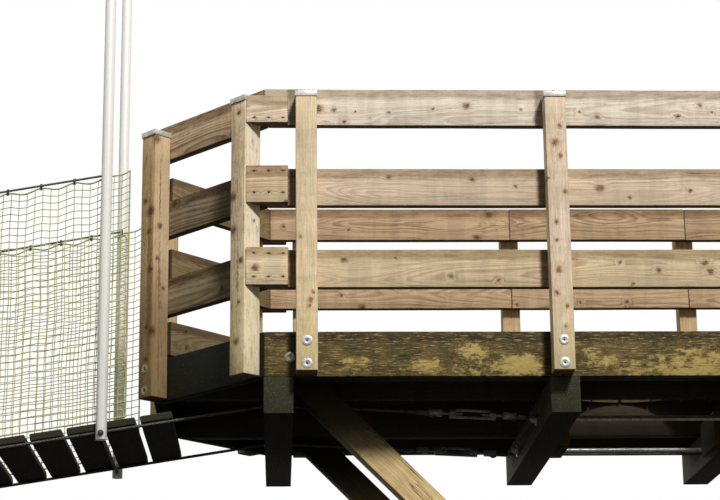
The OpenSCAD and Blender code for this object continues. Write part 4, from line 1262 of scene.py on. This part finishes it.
# %% Carrying cables
CABLE_UNDER_OUTER = 0.031
CABLE_UNDER_INNER = 0.085
SLEEVE_RADIUS = 0.0100
SLEEVE_OUT = 0.008
TURNBUCKLE_FROM_BEARER = 0.294
EYE_FROM_MIDDLE = 0.181
END_PLATE_RADIUS = 0.029
END_PLATE_THICK = 0.010
END_NUT_RADIUS = 0.0133
MIRROR = np.array([-1, 1, 1])


def cable_parts(y):
    """All that one cable consists of, from the eye on the bridge to the nut on the far bearer."""
    outer_low, outer_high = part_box("bearer_left_outer")
    inner_low, inner_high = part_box("bearer_left_inner")
    outer = np.array([outer_low.x, y, outer_high.z - CABLE_UNDER_OUTER])
    outer_in = np.array([outer_high.x, y, outer[2]])
    inner = np.array([(inner_low.x + inner_high.x) / 2, y, inner_high.z - CABLE_UNDER_INNER])
    inner_face = np.array([inner_low.x, y, inner[2]])
    fall = (inner_face - outer_in) / np.linalg.norm(inner_face - outer_in)
    middle = inner_face - fall * TURNBUCKLE_FROM_BEARER / fall[0]
    left_eye, right_eye = middle - EYE_FROM_MIDDLE * fall, middle + EYE_FROM_MIDDLE * fall
    slope = np.array([math.cos(BRIDGE_SLOPE), 0, math.sin(BRIDGE_SLOPE)])
    bridge_eye = outer - slope * (outer[0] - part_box("cable_front")[0].x - EYE_RADIUS - CABLE_SIZE) / slope[0]
    parts = [cable(bridge_eye + slope * EYE_RADIUS, outer), cable(outer_in, left_eye - fall * EYE_RADIUS),
             cable(right_eye + fall * EYE_RADIUS, inner), cable(inner, MIRROR * inner),
             cable(MIRROR * inner, MIRROR * outer_in)]
    parts += eye(bridge_eye, slope) + eye(left_eye, -fall) + eye(right_eye, fall)
    for start, end in ((outer, outer_in), (inner_face, 2 * inner - inner_face)):
        for place in (start, MIRROR * end):
            parts.append(rod(SLEEVE_RADIUS, end[0] - start[0] + 2 * SLEEVE_OUT, 0.001, 24,
                             place - ACROSS * SLEEVE_OUT, ACROSS))
    far = MIRROR * outer
    parts.append(rod(END_PLATE_RADIUS, END_PLATE_THICK, 0.0015, 32, far, ACROSS))
    parts.append(rod(END_NUT_RADIUS, 2 * CABLE_SIZE, 0.001, 6, far + ACROSS * END_PLATE_THICK, ACROSS))
    parts.append(rod(CABLE_SIZE, END_PLATE_THICK + 4 * CABLE_SIZE, 0.002, 20, far, ACROSS))
    return parts


for node in ("cable_front", "cable_back"):
    low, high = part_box(node)
    joined(node + "_laid", cable_parts((low.y + high.y) / 2), weathered_and_shaded_cable, "cable_steel", [node], smooth=60)

# %% [markdown]
# ## Hangers
# Two long hangers carry the first stirrup of the bridge. Each is sleeved in smooth white pipe, with a steel
# ring at its top. The copy of the CAD node is cut in two there, because the ring is metal and the pipe isn't.
# The pipe keeps its top face, and each part gets a lid where it was cut.

# %% Hangers
HANGER_ARRIS = 0.0015
RING_REACH = 0.020
RING_HEIGHT = 0.06
LEVEL = 0.001


def closed_part(points, faces):
    """Some faces of a mesh with just their own points, and a lid on the edge where they were cut off."""
    work = bmesh.new()
    used = sorted({number for face in faces for number in face})
    corners = {number: work.verts.new(points[number]) for number in used}
    for face in faces:
        work.faces.new([corners[number] for number in face])
    bmesh.ops.holes_fill(work, edges=[edge for edge in work.edges if edge.is_boundary], sides=0)
    return mesh_arrays(work)


for node in ("bridge_hanger_front", "bridge_hanger_back"):
    points, faces = bevelled_copy(node, HANGER_ARRIS)
    low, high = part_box(node)
    off_axis = np.hypot(points[:, 0] - (low.x + high.x) / 2, points[:, 1] - (low.y + high.y) / 2)
    far_out = off_axis > RING_REACH
    pipe_top = points[far_out & (points[:, 2] < high.z - RING_HEIGHT), 2].max()
    metal = [min(points[face, 2]) > pipe_top - LEVEL and not far_out[face].any() or
             min(points[face, 2]) > pipe_top + LEVEL for face in faces]
    for name, keep, material, slot in ((node + "_pipe", False, white_sleeve, "white_sleeve"),
                                       (node + "_ring", True, bolt_zinc, "galvanised")):
        part = closed_part(points, [face for face, is_metal in zip(faces, metal) if is_metal == keep])
        piece(name, *part, material, slot, [node])

# %% [markdown]
# ## Nets
# A knotted net is a grid of thin cords. Here the grid's columns stand 36 mm apart, and its rows follow the
# planks at the bottom and the top edge at the top: height = bottom + share * (top - bottom). The top edge is
# a pale cord that sags in scallops between its ties to the dark hand rope, and slow noise keeps the squares
# from being perfect. Tubes with five sides and knots with eight faces are enough for cords this thin.

# %% Cords and knots
def tubes(lines, radius, sides):
    """Round cords along many lines at once. lines has the shape line, station, axis."""
    ahead = np.gradient(lines, axis=1)
    ahead /= np.linalg.norm(ahead, axis=-1, keepdims=True)
    side = np.cross(BACKWARDS, ahead)
    side /= np.linalg.norm(side, axis=-1, keepdims=True)
    top = np.cross(ahead, side)
    angle = np.linspace(0, 2 * math.pi, sides, endpoint=False)[:, None]
    points = lines[:, :, None] + radius * (np.cos(angle) * side[:, :, None] + np.sin(angle) * top[:, :, None])
    count, stations = lines.shape[:2]
    one = tube_faces(stations, sides)
    return points.reshape(-1, 3), [[corner + line * stations * sides for corner in face]
                                   for line in range(count) for face in one]


def knots(places, radius):
    """A small eight-sided lump round each place."""
    tips = radius * np.array([(1, 0, 0), (-1, 0, 0), (0, 1, 0), (0, -1, 0), (0, 0, 1), (0, 0, -1)])
    one = ((0, 2, 4), (2, 1, 4), (1, 3, 4), (3, 0, 4), (2, 0, 5), (1, 2, 5), (3, 1, 5), (0, 3, 5))
    faces = (np.array(one) + 6 * np.arange(len(places))[:, None, None]).reshape(-1, 3)
    return (places[:, None] + tips).reshape(-1, 3), faces.tolist()


print("points of one knot:", len(knots(np.zeros((1, 3)), 0.004)[0]))

# %% Nets and hand ropes
NET_MESH = 0.036
NET_ROWS = 0.93
NET_CORD = 0.0021
NET_KNOT = 0.0044
SLOW_WAVE = 0.0030
QUICK_WAVE = 0.0022
SCATTER = 0.0009
BELLY = 0.005
CAD_KNOT = 0.009
TIE_PITCH = 0.150
TIE_TURNS = (-0.004, 0.0, 0.004)
TIE_RADIUS = 0.0085
TIE_STEPS = 25
SCALLOP = 0.016
EDGE_DROP = 0.012
EDGE_POINTS = 120
TOP_SLOPE = math.radians(9.8)
END_SLOPE = math.radians(24)
HAND_ROPE = dict(size=0.0056, strands=3, lay=0.040, step=0.0045)
EDGE_ROPE = dict(size=0.0042, strands=3, lay=0.028, step=0.0036)
TIE_CORD = dict(size=0.0018, strands=3, lay=0.012, step=0.004)


def dress_net(node, hanger, inwards):
    """Makes one side's net, its edge cord and its hand rope, from the CAD net's box and slopes."""
    rng = np.random.default_rng(sum(map(ord, node)))
    low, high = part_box(node)
    left, right, plane = low.x + CAD_KNOT, high.x - CAD_KNOT, (low.y + high.y) / 2
    hanger_x = (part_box(hanger)[0].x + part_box(hanger)[1].x) / 2
    top_at_hanger = high.z - CAD_KNOT - (right - hanger_x) * math.tan(END_SLOPE)

    def top_line(x):
        rise = np.where(x > hanger_x, math.tan(END_SLOPE), math.tan(TOP_SLOPE))
        return top_at_hanger + (x - hanger_x) * rise

    def bottom_line(x):
        return low.z + CAD_KNOT + (x - left) * math.tan(BRIDGE_SLOPE)

    def edge_line(x):
        return top_line(x) - EDGE_DROP - SCALLOP * np.sin(math.pi * (hanger_x - x) / TIE_PITCH) ** 2

    columns, rows = round((right - left) / NET_MESH), round((high.z - low.z) / NET_MESH * NET_ROWS)
    x, share = np.meshgrid(np.linspace(left, right, columns + 1), np.linspace(0, 1, rows + 1), indexing="ij")
    phase = rng.uniform(0, 2 * math.pi, 4)
    loose = np.sin(math.pi * share) ** 0.5
    held = np.sin(math.pi * np.linspace(0, 1, columns + 1))[:, None].clip(0.0) ** 0.5
    x = x + loose * held * (SLOW_WAVE * np.sin(share * 7 + phase[0])
                            + QUICK_WAVE * np.sin(share * 17 + x * 9 + phase[1])
                            + rng.normal(0, SCATTER, x.shape))
    z = bottom_line(x) + share * (edge_line(x) - bottom_line(x))
    z = z + loose * (SLOW_WAVE * np.sin(x * 11 + phase[2]) + rng.normal(0, SCATTER, x.shape))
    y = plane + inwards * BELLY * loose * np.sin(x * 8 + share * 5 + phase[3])
    grid = np.stack([x, y, z], axis=-1)
    joined(node + "_mesh", [tubes(grid, NET_CORD, 5), tubes(grid.transpose(1, 0, 2), NET_CORD, 5),
                            knots(grid.reshape(-1, 3), NET_KNOT)], net_cord, "net_rope", [node], smooth=60)

    across = np.linspace(left, right, EDGE_POINTS)
    foot = [(left, plane, bottom_line(left)), (right, plane, bottom_line(right))]
    top = np.stack([across, np.full_like(across, plane), edge_line(across)], axis=-1)
    edge = np.concatenate([foot[:1], top, foot[1:]])
    joined(node + "_edge", [laid_rope(edge, **EDGE_ROPE), laid_rope(foot, **EDGE_ROPE)],
           edge_rope, "net_rope", [node], smooth=60)

    hand = np.array([(x, plane, top_line(x)) for x in (left, hanger_x)])
    slope = (hand[1] - hand[0]) / np.linalg.norm(hand[1] - hand[0])
    parts = [laid_rope(hand, **HAND_ROPE)]
    angle = np.linspace(0, 2 * math.pi, TIE_STEPS)[:, None]
    ring = np.cos(angle) * BACKWARDS * TIE_RADIUS + np.sin(angle) * UP * (TIE_RADIUS + EDGE_DROP / 2)
    for tie in np.arange(hanger_x, left, -TIE_PITCH):
        for shift in TIE_TURNS:
            centre = np.array([tie + shift, plane, top_line(tie + shift) - EDGE_DROP / 2])
            parts.append(laid_rope(centre + ring, **TIE_CORD, guide=slope))
    joined(node + "_hand_rope", parts, lacing_cord, "net_rope", [node], smooth=60)


dress_net("bridge_net_front", "bridge_hanger_front", 1)
dress_net("bridge_net_back", "bridge_hanger_back", -1)
